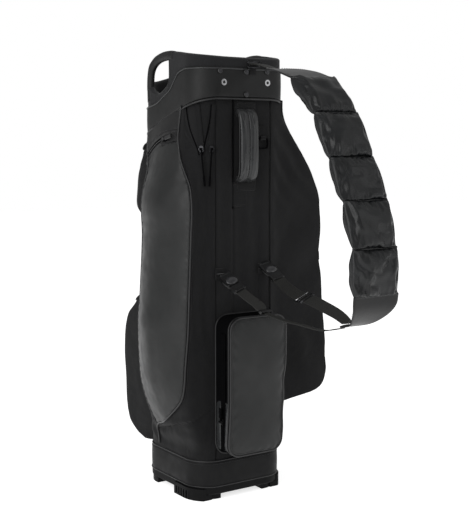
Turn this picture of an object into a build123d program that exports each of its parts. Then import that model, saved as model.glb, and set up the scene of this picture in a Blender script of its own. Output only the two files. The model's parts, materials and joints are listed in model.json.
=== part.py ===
# Cart golf bag with a padded single shoulder strap.
#
# Frame: +Z up, origin on the ground under the middle of the body. The spine, which carries the lift handle,
# the strap and a small pocket, faces -Y. The ball pocket is at the front, +Y. The flat full-length pocket is
# on +X and the bowed one, with the smooth face, on -X. All sizes are in millimetres.
import math
import os

from build123d import *

os.makedirs("parts", exist_ok=True)

# ---- Driving dimensions ----
body_x, body_y, body_r = 108, 112, 50  # half width, half depth and corner radius of the sewn body
shell_t = 2.5  # padded fabric of the body and the pockets
liner_t = 1.5  # stiff sheet inside the body
gap = 0.3  # what keeps soft pieces off their neighbours

tray_floor, tray_t = 12, 4  # height of the tray's underside above the ground, and its floor's thickness
ledge_z = 28  # the body and the base band stand on the tray's ledge
band_top = 80  # top of the base band
tray_wall_top = 62

skirt_z = 775  # bottom of the moulded collar's skirt
seam_z = 882.5  # seam between the collar's band and its rim, along the spine
rim_z = 899  # rim at the spine
peak_z = 916  # rim at its highest, where the rim handles start
band_low_z = 822  # lower edge of the collar band at the spine
band_slope = 0.318  # fall of that edge towards the front
collar_y = 121  # half depth over the collar band
reach = 300  # long enough to cut through anything

pocket_t = 2.5


def outline(grow):
    """Width, depth and corner radius of the body's plan outline, grown all round."""
    return 2 * (body_x + grow), 2 * (body_y + grow), body_r + grow


def keep(part, label):
    """Labels a finished piece and writes it."""
    part.label = label
    export_step(part, f"parts/{label}.step")


def upright(outer, inner, bottom, top):
    """Upright ring between two rounded outlines."""
    with BuildPart() as ring:
        with BuildSketch(Plane.XY.offset(bottom)):
            RectangleRounded(*outer)
            RectangleRounded(*inner, mode=Mode.SUBTRACT)
        extrude(amount=top - bottom)
    return ring.part


def across_x(draw):
    """Prism along X whose YZ outline is drawn by draw()."""
    with BuildPart() as prism:
        with BuildSketch(Plane.YZ):
            with BuildLine():
                draw()
            make_face()
        extrude(amount=reach, both=True)
    return prism.part


def box_between(low, high):
    """Box from its lowest to its highest corner."""
    with BuildPart() as box:
        with Locations(tuple((a + b) / 2 for a, b in zip(low, high))):
            Box(*[b - a for a, b in zip(low, high)])
    return box.part


# ---- Side outlines of the collar, as height over Y ----
seam_curve = [(-72, 882.5), (-45, 875), (-27, 858), (-12, 843), (10, 832), (46, 816), (150, 802)]
rim_curve = [(2, 916), (-6, 885), (-3, 861), (20, 840), (45, 828), (75, 831), (150, 837)]


def draw_under_seam(drop):
    Line((-150, seam_z - drop), (seam_curve[0][0], seam_z - drop))
    Spline(*[(y, z - drop) for y, z in seam_curve])
    end_y, end_z = seam_curve[-1]
    Polyline((end_y, end_z - drop), (end_y, 0), (-150, 0), (-150, seam_z - drop))


def draw_under_rim():
    Line((-150, rim_z - 4), rim_curve[0])
    Spline(*rim_curve)
    Polyline(rim_curve[-1], (rim_curve[-1][0], 0), (-150, 0), (-150, rim_z - 4))


def band_edge(y):
    """Height of the collar band's lower edge."""
    return band_low_z - band_slope * (y + collar_y)


def draw_under_band(drop):
    Polyline(
        (-250, band_edge(-250) - drop), (250, band_edge(250) - drop), (250, -50), (-250, -50), close=True
    )


under_seam = across_x(lambda: draw_under_seam(0))
under_body_top = across_x(lambda: draw_under_band(-4))  # the cloth ends a little way up under the band
under_core_step = across_x(lambda: draw_under_band(-4.3))
under_band_top = across_x(lambda: draw_under_seam(0.2))
under_rim = across_x(draw_under_rim)
under_band = across_x(lambda: draw_under_band(0))
under_piping = across_x(lambda: draw_under_band(4))
pocket_room = across_x(lambda: draw_under_band(4.6))
cavity_room = across_x(lambda: draw_under_band(4.6 + pocket_t))

# ---- Base ----
rod_x, rod_y, rod_r = 86.4, 90.4, 3  # the four stays stand in the body's corners
rod_places = [(sx * rod_x, sy * rod_y) for sx in (-1, 1) for sy in (-1, 1)]
boss_r = 6
rod_bottom, rod_top = 20, 790
screw_r = 1.6

with BuildPart() as base_tray:
    with BuildSketch(Plane.XY.offset(tray_floor)):
        RectangleRounded(*outline(3))
    extrude(amount=ledge_z - tray_floor)
    with BuildSketch(Plane.XY.offset(ledge_z)):
        RectangleRounded(*outline(-shell_t - gap))
    extrude(amount=tray_wall_top - ledge_z)
    fillet(base_tray.faces().sort_by(Axis.Z)[0].edges(), 4)
    with BuildSketch(Plane.XY.offset(tray_floor + tray_t)):
        RectangleRounded(*outline(-shell_t - gap - 3))
    extrude(amount=tray_wall_top, mode=Mode.SUBTRACT)
    with BuildSketch(Plane.XY.offset(tray_floor + 1)):
        with Locations(*rod_places):
            Circle(boss_r)
    extrude(amount=28)
    with Locations(*[(x, y, rod_bottom) for x, y in rod_places]):
        Cylinder(rod_r + 0.06, 60, align=(Align.CENTER, Align.CENTER, Align.MIN), mode=Mode.SUBTRACT)
    with Locations(*[(x, y, tray_floor - 1) for x, y in rod_places]):
        Cylinder(screw_r + 0.1, 20, align=(Align.CENTER, Align.CENTER, Align.MIN), mode=Mode.SUBTRACT)
keep(base_tray.part, "base_tray")

with BuildPart() as base_screws:
    with Locations(*[(x, y, tray_floor - 3.2) for x, y in rod_places]):
        Cylinder(4, 3.2, align=(Align.CENTER, Align.CENTER, Align.MIN))
        Cylinder(screw_r, 26, align=(Align.CENTER, Align.CENTER, Align.MIN))
    chamfer(base_screws.edges().filter_by(GeomType.CIRCLE).group_by(Axis.Z)[0], 0.8)
keep(base_screws.part, "base_screws")

# Feet: a toothed shoe wraps each spine-side corner, a plain pad is under each front corner.
shoe_teeth = 7
with BuildPart() as toothed_shoe:
    with BuildSketch():
        RectangleRounded(*outline(7))
        RectangleRounded(*outline(-16), mode=Mode.SUBTRACT)
    extrude(amount=tray_floor - 0.1)
    with BuildSketch():
        RectangleRounded(*outline(7))
        RectangleRounded(*outline(3 + gap), mode=Mode.SUBTRACT)
    extrude(amount=25)
    add(box_between((-140, -106, -1), (-74, -22, 30)), mode=Mode.INTERSECT)
    with Locations(*[(-body_x - 7, -32 - 9.5 * i, 10) for i in range(shoe_teeth)]):
        Box(6, 4, 16, mode=Mode.SUBTRACT)
    with Locations((-rod_x, -rod_y, 0)):
        Cylinder(5, 60, mode=Mode.SUBTRACT)
with BuildPart() as inner_block:
    with BuildSketch():
        RectangleRounded(*outline(-6))
        RectangleRounded(*outline(-30), mode=Mode.SUBTRACT)
    extrude(amount=tray_floor - 0.1)
    add(box_between((-73, -120, -1), (-52, -70, 30)), mode=Mode.INTERSECT)
with BuildPart() as plain_pad:
    with BuildSketch():
        RectangleRounded(*outline(1))
        RectangleRounded(*outline(-20), mode=Mode.SUBTRACT)
    extrude(amount=tray_floor - 0.1)
    add(box_between((-140, 55, -1), (-55, 140, 30)), mode=Mode.INTERSECT)
    with Locations((-rod_x, rod_y, 0)):
        Cylinder(5, 60, mode=Mode.SUBTRACT)
with BuildPart() as base_feet:
    for foot in (toothed_shoe.part, inner_block.part, plain_pad.part):
        add(foot)
        add(mirror(foot, about=Plane.YZ, mode=Mode.PRIVATE))
    Cylinder(15, tray_floor - 0.1, align=(Align.CENTER, Align.CENTER, Align.MIN))
keep(base_feet.part, "base_feet")

with BuildPart() as base_mat:
    with BuildSketch(Plane.XY.offset(tray_floor + tray_t)):
        RectangleRounded(*outline(-shell_t - gap - 3.4))
        with Locations(*rod_places):
            Circle(boss_r + 0.4, mode=Mode.SUBTRACT)
    extrude(amount=8)
keep(base_mat.part, "base_mat")

keep(upright(outline(3), outline(gap), ledge_z, band_top), "base_band")

# ---- Body ----
spine_seam = 67.5  # the spine panel's seams, either side of the middle
front_seam = 58
body_tube = upright(outline(0), outline(-shell_t), ledge_z, 900)
spine_strip = box_between((-spine_seam, -200, 0), (spine_seam, 0, 950))
front_strip = box_between((-front_seam, 0, 0), (front_seam, 200, 950))


def body_panel(region, cutters=()):
    with BuildPart() as panel:
        add(body_tube)
        add(under_body_top, mode=Mode.INTERSECT)
        add(region, mode=Mode.INTERSECT)
        for cutter in cutters:
            add(cutter, mode=Mode.SUBTRACT)
    return panel.part


keep(body_panel(spine_strip), "spine_panel")
keep(body_panel(front_strip), "front_panel")
keep(body_panel(box_between((-200, -200, 0), (200, 200, 950)), (spine_strip, front_strip)), "side_panels")

with BuildPart() as body_liner:
    add(upright(outline(-shell_t - gap), outline(-shell_t - gap - liner_t), tray_wall_top, 900))
    add(under_body_top, mode=Mode.INTERSECT)
keep(body_liner.part, "body_liner")

with BuildPart() as stay_rods:
    with BuildSketch(Plane.XY.offset(rod_bottom)):
        with Locations(*rod_places):
            Circle(rod_r)
            Circle(screw_r + 0.1, mode=Mode.SUBTRACT)
    extrude(amount=rod_top - rod_bottom)
keep(stay_rods.part, "stay_rods")

# ---- Collar ----
collar_outer = (2 * 112.5, 2 * collar_y, 54)
rim_outer = (2 * 111, 2 * (collar_y - 1.5), 52.5)
collar_inner = (2 * 98, 2 * 102, 52)
skirt_outer = outline(-shell_t - gap - liner_t - gap)

with BuildPart() as front_crest:
    add(upright(rim_outer, collar_inner, 800, 900))
    with BuildSketch(Plane(origin=(0, 70, 0), x_dir=(1, 0, 0), z_dir=(0, -1, 0))):
        with BuildLine():
            ThreePointArc((-95, 830), (0, 887), (95, 830))
            Line((95, 830), (-95, 830))
        make_face()
    extrude(amount=-70, mode=Mode.INTERSECT)

with BuildPart() as rim_ring:
    add(upright(rim_outer, collar_inner, 790, 930))
    add(under_rim, mode=Mode.INTERSECT)
    add(under_seam, mode=Mode.SUBTRACT)
with BuildPart() as collar_core:
    add(upright(outline(0), collar_inner, skirt_z, 930))
    add(under_core_step, mode=Mode.SUBTRACT)
    add(upright(skirt_outer, collar_inner, skirt_z, 930))
    add(under_rim, mode=Mode.INTERSECT)
    add(rim_ring.part)
    add(front_crest.part)
    with Locations(*[(x, y, skirt_z) for x, y in rod_places]):
        Cylinder(
            rod_r + 0.06,
            rod_top - skirt_z + 0.2,
            align=(Align.CENTER, Align.CENTER, Align.MIN),
            mode=Mode.SUBTRACT,
        )

eyelet_places = [(-53.3, 851.5), (52.5, 853)]
stud_places = [(-63, 873.5), (0, 873), (51, 875), (0, 828.5)]
eyelet_r, stud_r = 3.0, 2.0
with BuildPart() as collar_band:
    add(upright(collar_outer, outline(gap), 700, 900))
    add(under_band_top, mode=Mode.INTERSECT)
    add(under_band, mode=Mode.SUBTRACT)


def spine_holes(places, radius, depth):
    """Round holes into the spine face of the collar, along Y."""
    with BuildPart() as holes:
        for x, z in places:
            with Locations(Location((x, -collar_y - 1, z), (-90, 0, 0))):
                Cylinder(radius, depth + 1, align=(Align.CENTER, Align.CENTER, Align.MIN))
    return holes.part


# ---- Dividers: fourteen full-length wells ----
row_walls = [-52, 0, 52]
row_edges = [-102, -52, 0, 52, 102]
column_walls = [[-33, 33], [-49, 0, 49], [-49, 0, 49], [-33, 33]]
bar_t, bar_h, sleeve_t = 9, 26, 1.5
bar_z = 776
mat_top = tray_floor + tray_t + 8


def divider_walls(thickness, end_x, end_y, bottom, top):
    """Three walls along X and the short ones between them, as separate pieces that meet face to face."""
    with BuildPart() as walls:
        for y in row_walls:
            with Locations((0, y, (bottom + top) / 2)):
                Box(2 * end_x, thickness, top - bottom)
        for row, columns in enumerate(column_walls):
            low = -end_y if row == 0 else row_walls[row - 1] + thickness / 2 + 0.05
            high = end_y if row == 3 else row_walls[row] - thickness / 2 - 0.05
            for x in columns:
                with Locations((x, (low + high) / 2, (bottom + top) / 2)):
                    Box(thickness, high - low, top - bottom)
    return walls.part


with BuildPart() as divider_bars:
    add(divider_walls(bar_t, 97.5, 101.9, bar_z, bar_z + bar_h))
    fillet(divider_bars.edges().group_by(Axis.Z)[-1].filter_by(lambda e: e.length > 20), 3.5)
keep(divider_bars.part, "divider_bars")
sleeve_end_x, sleeve_end_y = body_x - 5, body_y - 5
with BuildPart() as divider_sleeves:
    add(divider_walls(sleeve_t, sleeve_end_x, sleeve_end_y, mat_top, bar_z - 0.1))
    # Above the collar's skirt the cloth is gathered inside it.
    add(upright(outline(20), collar_inner, skirt_z - 2, 800), mode=Mode.SUBTRACT)
    add(upright(outline(20), outline(-9), 0, tray_wall_top + 2), mode=Mode.SUBTRACT)
keep(divider_sleeves.part, "divider_sleeves")

# ---- Rim handles: a padded bar bridges the low part of the rim on each side ----
with BuildPart() as rim_bar:
    add(upright((2 * 112, 2 * 120.5, 53.5), (2 * 97, 2 * 101, 39), 800, 930))
    with BuildSketch(Plane.YZ):
        with BuildLine():
            outer = Spline((-10, 917), (27, 912.5), (55, 902), (82, 884), (103, 860), (114, 832))
            inner = Spline((72, 832), (63, 850), (62, 866), (36, 887), (-10, 897))
            Line(outer @ 1, inner @ 0)
            Line(inner @ 1, outer @ 0)
        make_face()
    extrude(amount=reach, both=True, mode=Mode.INTERSECT)
    add(under_rim, mode=Mode.SUBTRACT)
    add(box_between((-99, 0, 700), (99, 200, 950)), mode=Mode.SUBTRACT)
    add(front_crest.part, mode=Mode.SUBTRACT)
keep(rim_bar.part, "rim_handles")

# ---- Collar, finished: eyelets and snap studs go through its spine face ----
eyelet_cut = spine_holes(eyelet_places, eyelet_r + 1.1, 30)
stud_cut = spine_holes(stud_places, stud_r + 0.05, 10)
for label, blank in (("collar", collar_core.part), ("collar_band", collar_band.part)):
    with BuildPart() as pierced:
        add(blank)
        add(eyelet_cut, mode=Mode.SUBTRACT)
        add(stud_cut, mode=Mode.SUBTRACT)
    keep(pierced.part, label)

with BuildPart() as collar_eyelets:
    add(spine_holes(eyelet_places, eyelet_r + 1, 21))
    for x, z in eyelet_places:
        with Locations(Location((x, -collar_y - 0.1, z), (90, 0, 0))):
            Cylinder(6.4, 1.2, align=(Align.CENTER, Align.CENTER, Align.MIN))
        with Locations(Location((x, -collar_y - 5, z), (-90, 0, 0))):
            Cylinder(eyelet_r, 40, align=(Align.CENTER, Align.CENTER, Align.MIN), mode=Mode.SUBTRACT)
keep(collar_eyelets.part, "collar_eyelets")

stud_head_r, stud_head = 3.8, 3.2
with BuildPart() as snap_studs:
    add(spine_holes(stud_places, stud_r, 9.5))
    for x, z in stud_places:
        with Locations(Location((x, -collar_y - 0.1, z), (90, 0, 0))):
            Cylinder(5.6, 1, align=(Align.CENTER, Align.CENTER, Align.MIN))
            Cylinder(stud_head_r, 1 + stud_head, align=(Align.CENTER, Align.CENTER, Align.MIN))
keep(snap_studs.part, "snap_studs")

with BuildPart() as collar_piping:
    add(upright((2 * 113.7, 2 * (collar_y + 1.2), 55.2), outline(gap), 700, 900))
    add(under_band, mode=Mode.INTERSECT)
    add(under_piping, mode=Mode.SUBTRACT)
keep(collar_piping.part, "collar_piping")


# ---- Pockets: hollow sewn boxes lofted between plan outlines ----
def lofted(sections, inset):
    """Solid through plan outlines, each (height, points); inset draws every outline inwards."""
    with BuildPart() as solid:
        for z, points in sections:
            with BuildSketch(Plane.XY.offset(z)):
                with BuildLine():
                    Polyline(*points, close=True)
                make_face()
                if inset:
                    offset(amount=-inset, kind=Kind.INTERSECTION)
        loft(ruled=True)
    return solid.part


body_room = outline(gap)
body_back = outline(gap + 1)


def hollow(outer, inner):
    """Pocket shell that lies against the body with a thin back."""
    with BuildPart() as room:
        with BuildSketch(Plane.XY):
            RectangleRounded(*body_room)
        extrude(amount=950)
    with BuildPart() as cavity:
        add(inner)
        with BuildSketch(Plane.XY):
            RectangleRounded(*body_back)
        extrude(amount=950, mode=Mode.SUBTRACT)
    with BuildPart() as shell:
        add(outer)
        add(room.part, mode=Mode.SUBTRACT)
        add(cavity.part, mode=Mode.SUBTRACT)
    return shell.part


def parted(shell, region, inner_label, outer_label):
    """Splits a shell in two: what is in the region, and what is left."""
    for label, mode in ((inner_label, Mode.INTERSECT), (outer_label, Mode.SUBTRACT)):
        with BuildPart() as piece:
            add(shell)
            add(region, mode=mode)
        keep(piece.part, label)


def left_outline(pipe, near, middle, far, back, seam=(-69, -112.7)):
    return [(-40, -90), seam, pipe, near, middle, far, back, (-75, 107), (-40, 90)]


left_sections = [
    (112, left_outline((-103, -97), (-110, -50), (-111, 0), (-109.5, 60), (-104, 88))),
    (140, left_outline((-112, -98), (-120, -50), (-122, 0), (-113, 60), (-105, 88))),
    (165, left_outline((-118, -98), (-131, -50), (-135, 0), (-122, 60), (-107, 90))),
    (205, left_outline((-128, -98), (-144, -50), (-149, 0), (-136, 60), (-110, 95))),
    (249, left_outline((-134, -98), (-154, -50), (-161, 0), (-145, 60), (-112, 97))),
    (355, left_outline((-128, -100), (-160, -50), (-170, 0), (-149, 60), (-113, 97))),
    (409, left_outline((-126, -100), (-154, -50), (-165, 0), (-145, 60), (-112, 97))),
    (540, left_outline((-121, -100), (-145, -50), (-154, 0), (-137, 60), (-110, 97))),
    (616, left_outline((-118, -100), (-146, -50), (-155, 0), (-138, 60), (-110, 97))),
    (690, left_outline((-112, -76), (-125, -54), (-131, 0), (-117, 60), (-107, 92), (-85, -96))),
    (745, left_outline((-110, -71), (-117, -53), (-120, 0), (-112, 60), (-105, 92), (-85, -94))),
    (812, left_outline((-109, -66), (-110.5, -52), (-111, 0), (-109.5, 60), (-102, 90), (-85, -92))),
]
with BuildPart() as left_solid:
    add(lofted(left_sections, 0))
    add(pocket_room, mode=Mode.INTERSECT)
with BuildPart() as left_cavity:
    add(lofted([(z + (2 if z < 150 else 0), p) for z, p in left_sections], pocket_t))
    add(cavity_room, mode=Mode.INTERSECT)
left_shell = hollow(left_solid.part, left_cavity.part)

# The bowed face lies between the piping and the far edge; the rest is the gusset that runs round it.
with BuildPart() as left_face_region:
    with BuildSketch(Plane.YZ.offset(-110)):
        with BuildLine():
            Polyline(
                (-54, 738), (-55, 706), (-96, 650), (-97, 240), (-70, 160), (-40, 128),
                (78, 128), (88, 180), (88, 684), close=True,
            )  # fmt: skip
        make_face()
    extrude(amount=-reach)
parted(left_shell, left_face_region.part, "left_pocket_face", "left_pocket_gusset")


def right_outline(flank, outer):
    return [(40, -90), (69, -112.7), (100, -104), (flank, -102), (outer, -80), (outer, 60), (flank, 100),
            (90, 106), (75, 107), (40, 90)]  # fmt: skip


right_sections = [
    (184, right_outline(122, 126)),
    (188, right_outline(158, 166)),
    (194, right_outline(190, 200)),
    (210, right_outline(215, 225)),
    (235, right_outline(221, 231)),
    (303, right_outline(219, 229)),
    (480, right_outline(203, 213)),
    (600, right_outline(203, 213)),
    (632, right_outline(198, 208)),
    (696, right_outline(162, 172)),
    (738, right_outline(133, 142)),
    (769, right_outline(114, 122)),
    (800, right_outline(104, 112)),
]
with BuildPart() as right_solid:
    add(lofted(right_sections, 0))
    add(pocket_room, mode=Mode.INTERSECT)
with BuildPart() as right_cavity:
    add(lofted([(z + (2.5 if z < 190 else 0), p) for z, p in right_sections], pocket_t))
    add(cavity_room, mode=Mode.INTERSECT)
right_shell = hollow(right_solid.part, right_cavity.part)
right_face_region = box_between((112, -96, 204), (300, 96, 760))
parted(right_shell, right_face_region, "right_pocket_face", "right_pocket_gusset")


def front_outline(half, depth):
    back = body_y + gap + 0.1
    return [(-half, back), (-half, depth - 14), (-half + 16, depth), (half - 16, depth),
            (half, depth - 14), (half, back)]  # fmt: skip


def front_pocket(sections, rise, label):
    """Pocket on the front panel: a shell in two pieces, split behind its face."""
    solid = lofted([(z, front_outline(half, depth)) for z, half, depth in sections], 0)
    top, bottom = sections[-1][0], sections[0][0]
    cavity = lofted([(min(max(z, bottom + rise), top - rise), front_outline(half, depth))
                     for z, half, depth in sections], pocket_t)  # fmt: skip
    with BuildPart() as inside:
        add(cavity)
        add(cavity_room, mode=Mode.INTERSECT)
    with BuildPart() as shell:
        add(solid)
        add(inside.part, mode=Mode.SUBTRACT)
        add(pocket_room, mode=Mode.INTERSECT)
    parted(
        shell.part,
        box_between((-300, body_y + 34, bottom + 22), (300, 400, top - 40)),
        f"{label}_face",
        f"{label}_gusset",
    )


front_pocket(
    [(556, 84, 133), (572, 88, 162), (590, 88, 182), (625, 88, 180), (681, 88, 169), (728, 87, 147), (750, 82, 130)],
    3,
    "front_pocket",
)
front_pocket(
    [(84, 96, 136), (96, 103, 165), (118, 106, 190), (150, 107, 202), (208, 107, 206), (273, 107, 211),
     (351, 106, 197), (399, 103, 150), (410, 96, 133)],
    3,
    "ball_pocket",
)  # fmt: skip

# ---- Small pocket low on the spine ----
spine_face_y, spine_back_y = -168, -body_y - gap
with BuildPart() as spine_shell:
    for half, low, high, corner, front, back, mode in (
        (68, 99, 384, 25, spine_face_y, spine_back_y, Mode.ADD),
        (65.5, 101.5, 381.5, 22.5, spine_face_y + pocket_t, spine_back_y - 1, Mode.SUBTRACT),
    ):
        with BuildSketch(Plane(origin=(0, back, (low + high) / 2), x_dir=(1, 0, 0), z_dir=(0, -1, 0))):
            RectangleRounded(2 * half, high - low, corner)
        extrude(amount=back - front, mode=mode)
with BuildPart() as spine_front:
    add(spine_shell.part)
    add(box_between((-100, -200, 0), (100, spine_face_y + 8, 500)), mode=Mode.INTERSECT)
    fillet(spine_front.faces().sort_by(Axis.Y)[0].edges(), 5)
keep(spine_front.part, "spine_pocket_face")
with BuildPart() as spine_sides:
    add(spine_shell.part)
    add(box_between((-100, -200, 0), (100, spine_face_y + 8, 500)), mode=Mode.SUBTRACT)
keep(spine_sides.part, "spine_pocket_gusset")

# ---- Zips: a straight tape, a slider that runs along it and a pull that hinges on the slider ----
zip_h = 1.3


def zip_frame(start, end, normal):
    """Frame at a zip's start: x along the zip, z away from the bag."""
    along = (Vector(*end) - Vector(*start)).normalized()
    out = Vector(*normal)
    return Plane(origin=start, x_dir=along, z_dir=out - along * out.dot(along))


def zip_set(label, start, end, normal, tape_w, slider_at, pull_len, turn, grip_w=8):
    """Writes a zip's tape, slider and pull. turn is the pull's rest angle away from the zip."""
    run = (Vector(*end) - Vector(*start)).length
    frame = zip_frame(start, end, normal)
    with BuildPart(frame) as tape:
        with Locations((run / 2, 0, 0.45)):
            Box(run, tape_w, 0.8)
        with Locations((run / 2, 0, 0.85)):
            Box(run - 4, 5.5, zip_h - 0.4)
    keep(tape.part, f"{label}_zip")
    rest = Plane(origin=frame.from_local_coords((slider_at, 0, 0)), x_dir=frame.x_dir, z_dir=frame.z_dir)
    with BuildPart(rest) as slider:
        with Locations((0, 0, 3.3)):
            Box(13, 8, 3)
        chamfer(slider.edges().filter_by(lambda e: abs(e.length - 3) < 0.01), 2)
        with Locations((0, 4.1, 6.4), (0, -4.1, 6.4)):
            Box(4.4, 1.4, 5)
        with Locations((0, 0, 7.3)):
            Cylinder(1, 9.6, rotation=(90, 0, 0))
    keep(slider.part, f"{label}_slider")
    hinge = Plane(origin=rest.from_local_coords((0, 0, 7.3)), x_dir=rest.x_dir, z_dir=rest.z_dir)
    swung = Plane(
        origin=hinge.origin,
        x_dir=hinge.x_dir * math.cos(turn) + hinge.z_dir * math.sin(turn),
        z_dir=hinge.z_dir * math.cos(turn) - hinge.x_dir * math.sin(turn),
    )
    with BuildPart(swung) as pull:
        Cylinder(2.2, 6.2, rotation=(90, 0, 0))
        with Locations((-pull_len / 2 - 1, 0, 0)):
            Box(pull_len - 2, min(4.4, grip_w - 1), 1.6)
        with Locations((-pull_len + 8, 0, 0)):
            Box(20, grip_w, 3)
        chamfer(pull.edges().filter_by(lambda e: abs(e.length - 20) < 0.01), 0.9)
        Cylinder(1.3, 9, rotation=(90, 0, 0), mode=Mode.SUBTRACT)
    keep(pull.part, f"{label}_pull")


zip_set("left_pocket", (-118.3, -50, 748.5), (-123.9, 4, 734.5), (-0.97, -0.07, 0.16), 20, 40, 26, 0)
zip_set("spine_pocket", (-68.2, -140, 352), (-68.2, -140, 118), (-1, 0, 0), 16, 180, 26, 0)
zip_set("right_pocket", (229, -56, 306), (213.7, -56, 476), (1, 0, 0.09), 20, 125, 26, 0)
zip_set("front_pocket", (-74, 158.8, 705.6), (74, 158.8, 705.6), (0, 0.92, 0.41), 20, 132, 26, 0)
zip_set("ball_pocket", (-86, 174.9, 375.6), (86, 174.9, 375.6), (0, 0.72, 0.7), 22, 150, 26, 0)


def on_corner(angle, z):
    """Point just off the body's left spine-side corner, angle degrees round from the spine."""
    turn = math.radians(angle)
    return (-58 - (body_r + 0.7) * math.sin(turn), -62 - (body_r + 0.7) * math.cos(turn), z)


for vent, low, high in (("outer", 41, 52), ("inner", 22, 15)):
    middle = math.radians((low + high) / 2)
    out = (-math.sin(middle), -math.cos(middle), 0)
    zip_set(f"{vent}_vent", on_corner(low, 714), on_corner(high, 808), out, 9, 6, 72, 0, 4)

# ---- Lift handle on the spine ----
handle_w = 44
with BuildPart() as lift_handle:
    with BuildSketch(Plane.YZ):
        with BuildLine():
            Polyline(
                (-115, 654), (-122, 654), (-136, 676), (-136, 778), (-122, 800), (-115, 800),
                (-115, 790), (-124, 772), (-124, 682), (-115, 664), close=True,
            )  # fmt: skip
        make_face()
    extrude(amount=handle_w / 2, both=True)
    fillet(lift_handle.edges().filter_by(Axis.X).group_by(Axis.Y)[0], 5)
keep(lift_handle.part, "lift_handle")
with BuildPart() as handle_plates:
    for z in (650, 800):
        with Locations((0, -body_y - 1.5, z)):
            Box(58, 2.4, 30)
    fillet(handle_plates.edges().filter_by(Axis.Y), 4)
keep(handle_plates.part, "handle_plates")

# ---- Accessory ring ----
ring_x, ring_z = 45, 742
with BuildPart() as ring_tab:
    with Locations((ring_x, -body_y - 1.2, ring_z + 12)):
        Box(18, 1.8, 26)
    with Locations((ring_x, -body_y - 4.2, ring_z)):
        Cylinder(3.9, 12, rotation=(0, 90, 0))
        Cylinder(2, 20, rotation=(0, 90, 0), mode=Mode.SUBTRACT)
keep(ring_tab.part, "ring_tab")
with BuildPart() as accessory_ring:
    with BuildSketch(Plane(origin=(ring_x, -body_y - 4.2, ring_z - 10.25), x_dir=(1, 0, 0), z_dir=(0, -1, 0))):
        RectangleRounded(26, 23.2, 6)
        RectangleRounded(20.6, 17.8, 4, mode=Mode.SUBTRACT)
    extrude(amount=1.35, both=True)
keep(accessory_ring.part, "accessory_ring")


# ---- Shoulder strap ----
def ribbon(path, plan, thickness):
    """Strip that follows a path in the YZ plane, cut to a plan outline seen from above."""
    with BuildPart() as strip:
        with BuildSketch(Plane.YZ):
            with BuildLine():
                Polyline(*path) if len(path) < 3 else Spline(*path)
            trace(line_width=thickness)
        extrude(amount=reach, both=True)
        with BuildSketch():
            with BuildLine():
                Polyline(*plan, close=True)
            make_face()
        extrude(amount=950, mode=Mode.INTERSECT)
    return strip.part


def lane(centres, width):
    """Plan outline of a strip of even width whose middle passes through (x, y) points."""
    return [(x - width / 2, y) for x, y in centres] + [(x + width / 2, y) for x, y in reversed(centres)]


pad_w = 104
pad_seams = [(-335, 850), (-403, 785), (-447, 706), (-486, 632), (-513, 550), (-518, 468)]
with BuildPart() as strap_pads:
    for (y0, z0), (y1, z1) in zip(pad_seams, pad_seams[1:]):
        length = math.hypot(y1 - y0, z1 - z0)
        ay, az = (y1 - y0) / length, (z1 - z0) / length
        my, mz = (y0 + y1) / 2, (z0 + z1) / 2
        a, b = (y0 + 2 * ay, z0 + 2 * az), (y1 - 2 * ay, z1 - 2 * az)
        with BuildSketch(Plane.YZ):
            with BuildLine():
                ThreePointArc(a, (my + 17 * az, mz - 17 * ay), b)
                ThreePointArc(b, (my - 11 * az, mz + 11 * ay), a)
            make_face()
        extrude(amount=pad_w / 2, both=True)
keep(strap_pads.part, "strap_pads")

upper_leaf_plan = [
    (-13, -216), (-20, -226), (-52, -262), (-52, -334), (52, -334), (52, -262), (20, -226), (13, -216),
]  # fmt: skip
lower_leaf_plan = [
    (-52, -520), (-52, -492), (-20, -446), (-13, -437), (13, -437), (20, -446), (52, -492), (52, -520),
]  # fmt: skip
with BuildPart() as strap_leaves:
    add(ribbon([(-216, 871), (-275, 866), (-334, 851)], upper_leaf_plan, 4))
    add(ribbon([(-518.5, 466), (-508, 438), (-480, 414), (-436, 402)], lower_leaf_plan, 4))
keep(strap_leaves.part, "strap_leaves")

web_t = 2
webs = [
    ([(-131, 887), (-165, 885), (-215.6, 873.8)], [(13, -131), (6, -165), (0, -215.6)], 25),
    (
        [(-205, 420), (-232, 402), (-290, 394), (-330, 393), (-390, 390), (-436.6, 400)],
        [(-34, -205), (-26, -232), (-24, -290), (-21, -330), (-15, -390), (-9, -436.6)],
        20,
    ),
    (
        [(-150, 467), (-197, 462), (-279, 433), (-377, 424), (-411, 417), (-436.6, 408)],
        [(53, -150), (50, -197), (30, -279), (12, -377), (8, -411), (4, -436.6)],
        25,
    ),
]
with BuildPart() as strap_webbing:
    for path, centres, width in webs:
        add(ribbon(path, lane(centres, width), web_t))
keep(strap_webbing.part, "strap_webbing")

# The webbing's fixed ends: a tab on the collar and two short ends sewn into the spine.
anchor_places = [(15, -collar_y - 1.3, 879, 14), (-59, -body_y - 1.9, 470, 20), (48, -body_y - 1.9, 474, 25)]
with BuildPart() as strap_anchors:
    for x, y, z, width in anchor_places:
        with Locations((x, y, z)):
            Box(width, 2.2, 22)
    with Locations((-59, -body_y - 7.8, 470)):
        Box(20, 13.6, web_t)
    with Locations((48, -body_y - 5, 474)):
        Box(25, 8, web_t)
keep(strap_anchors.part, "strap_anchors")

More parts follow.
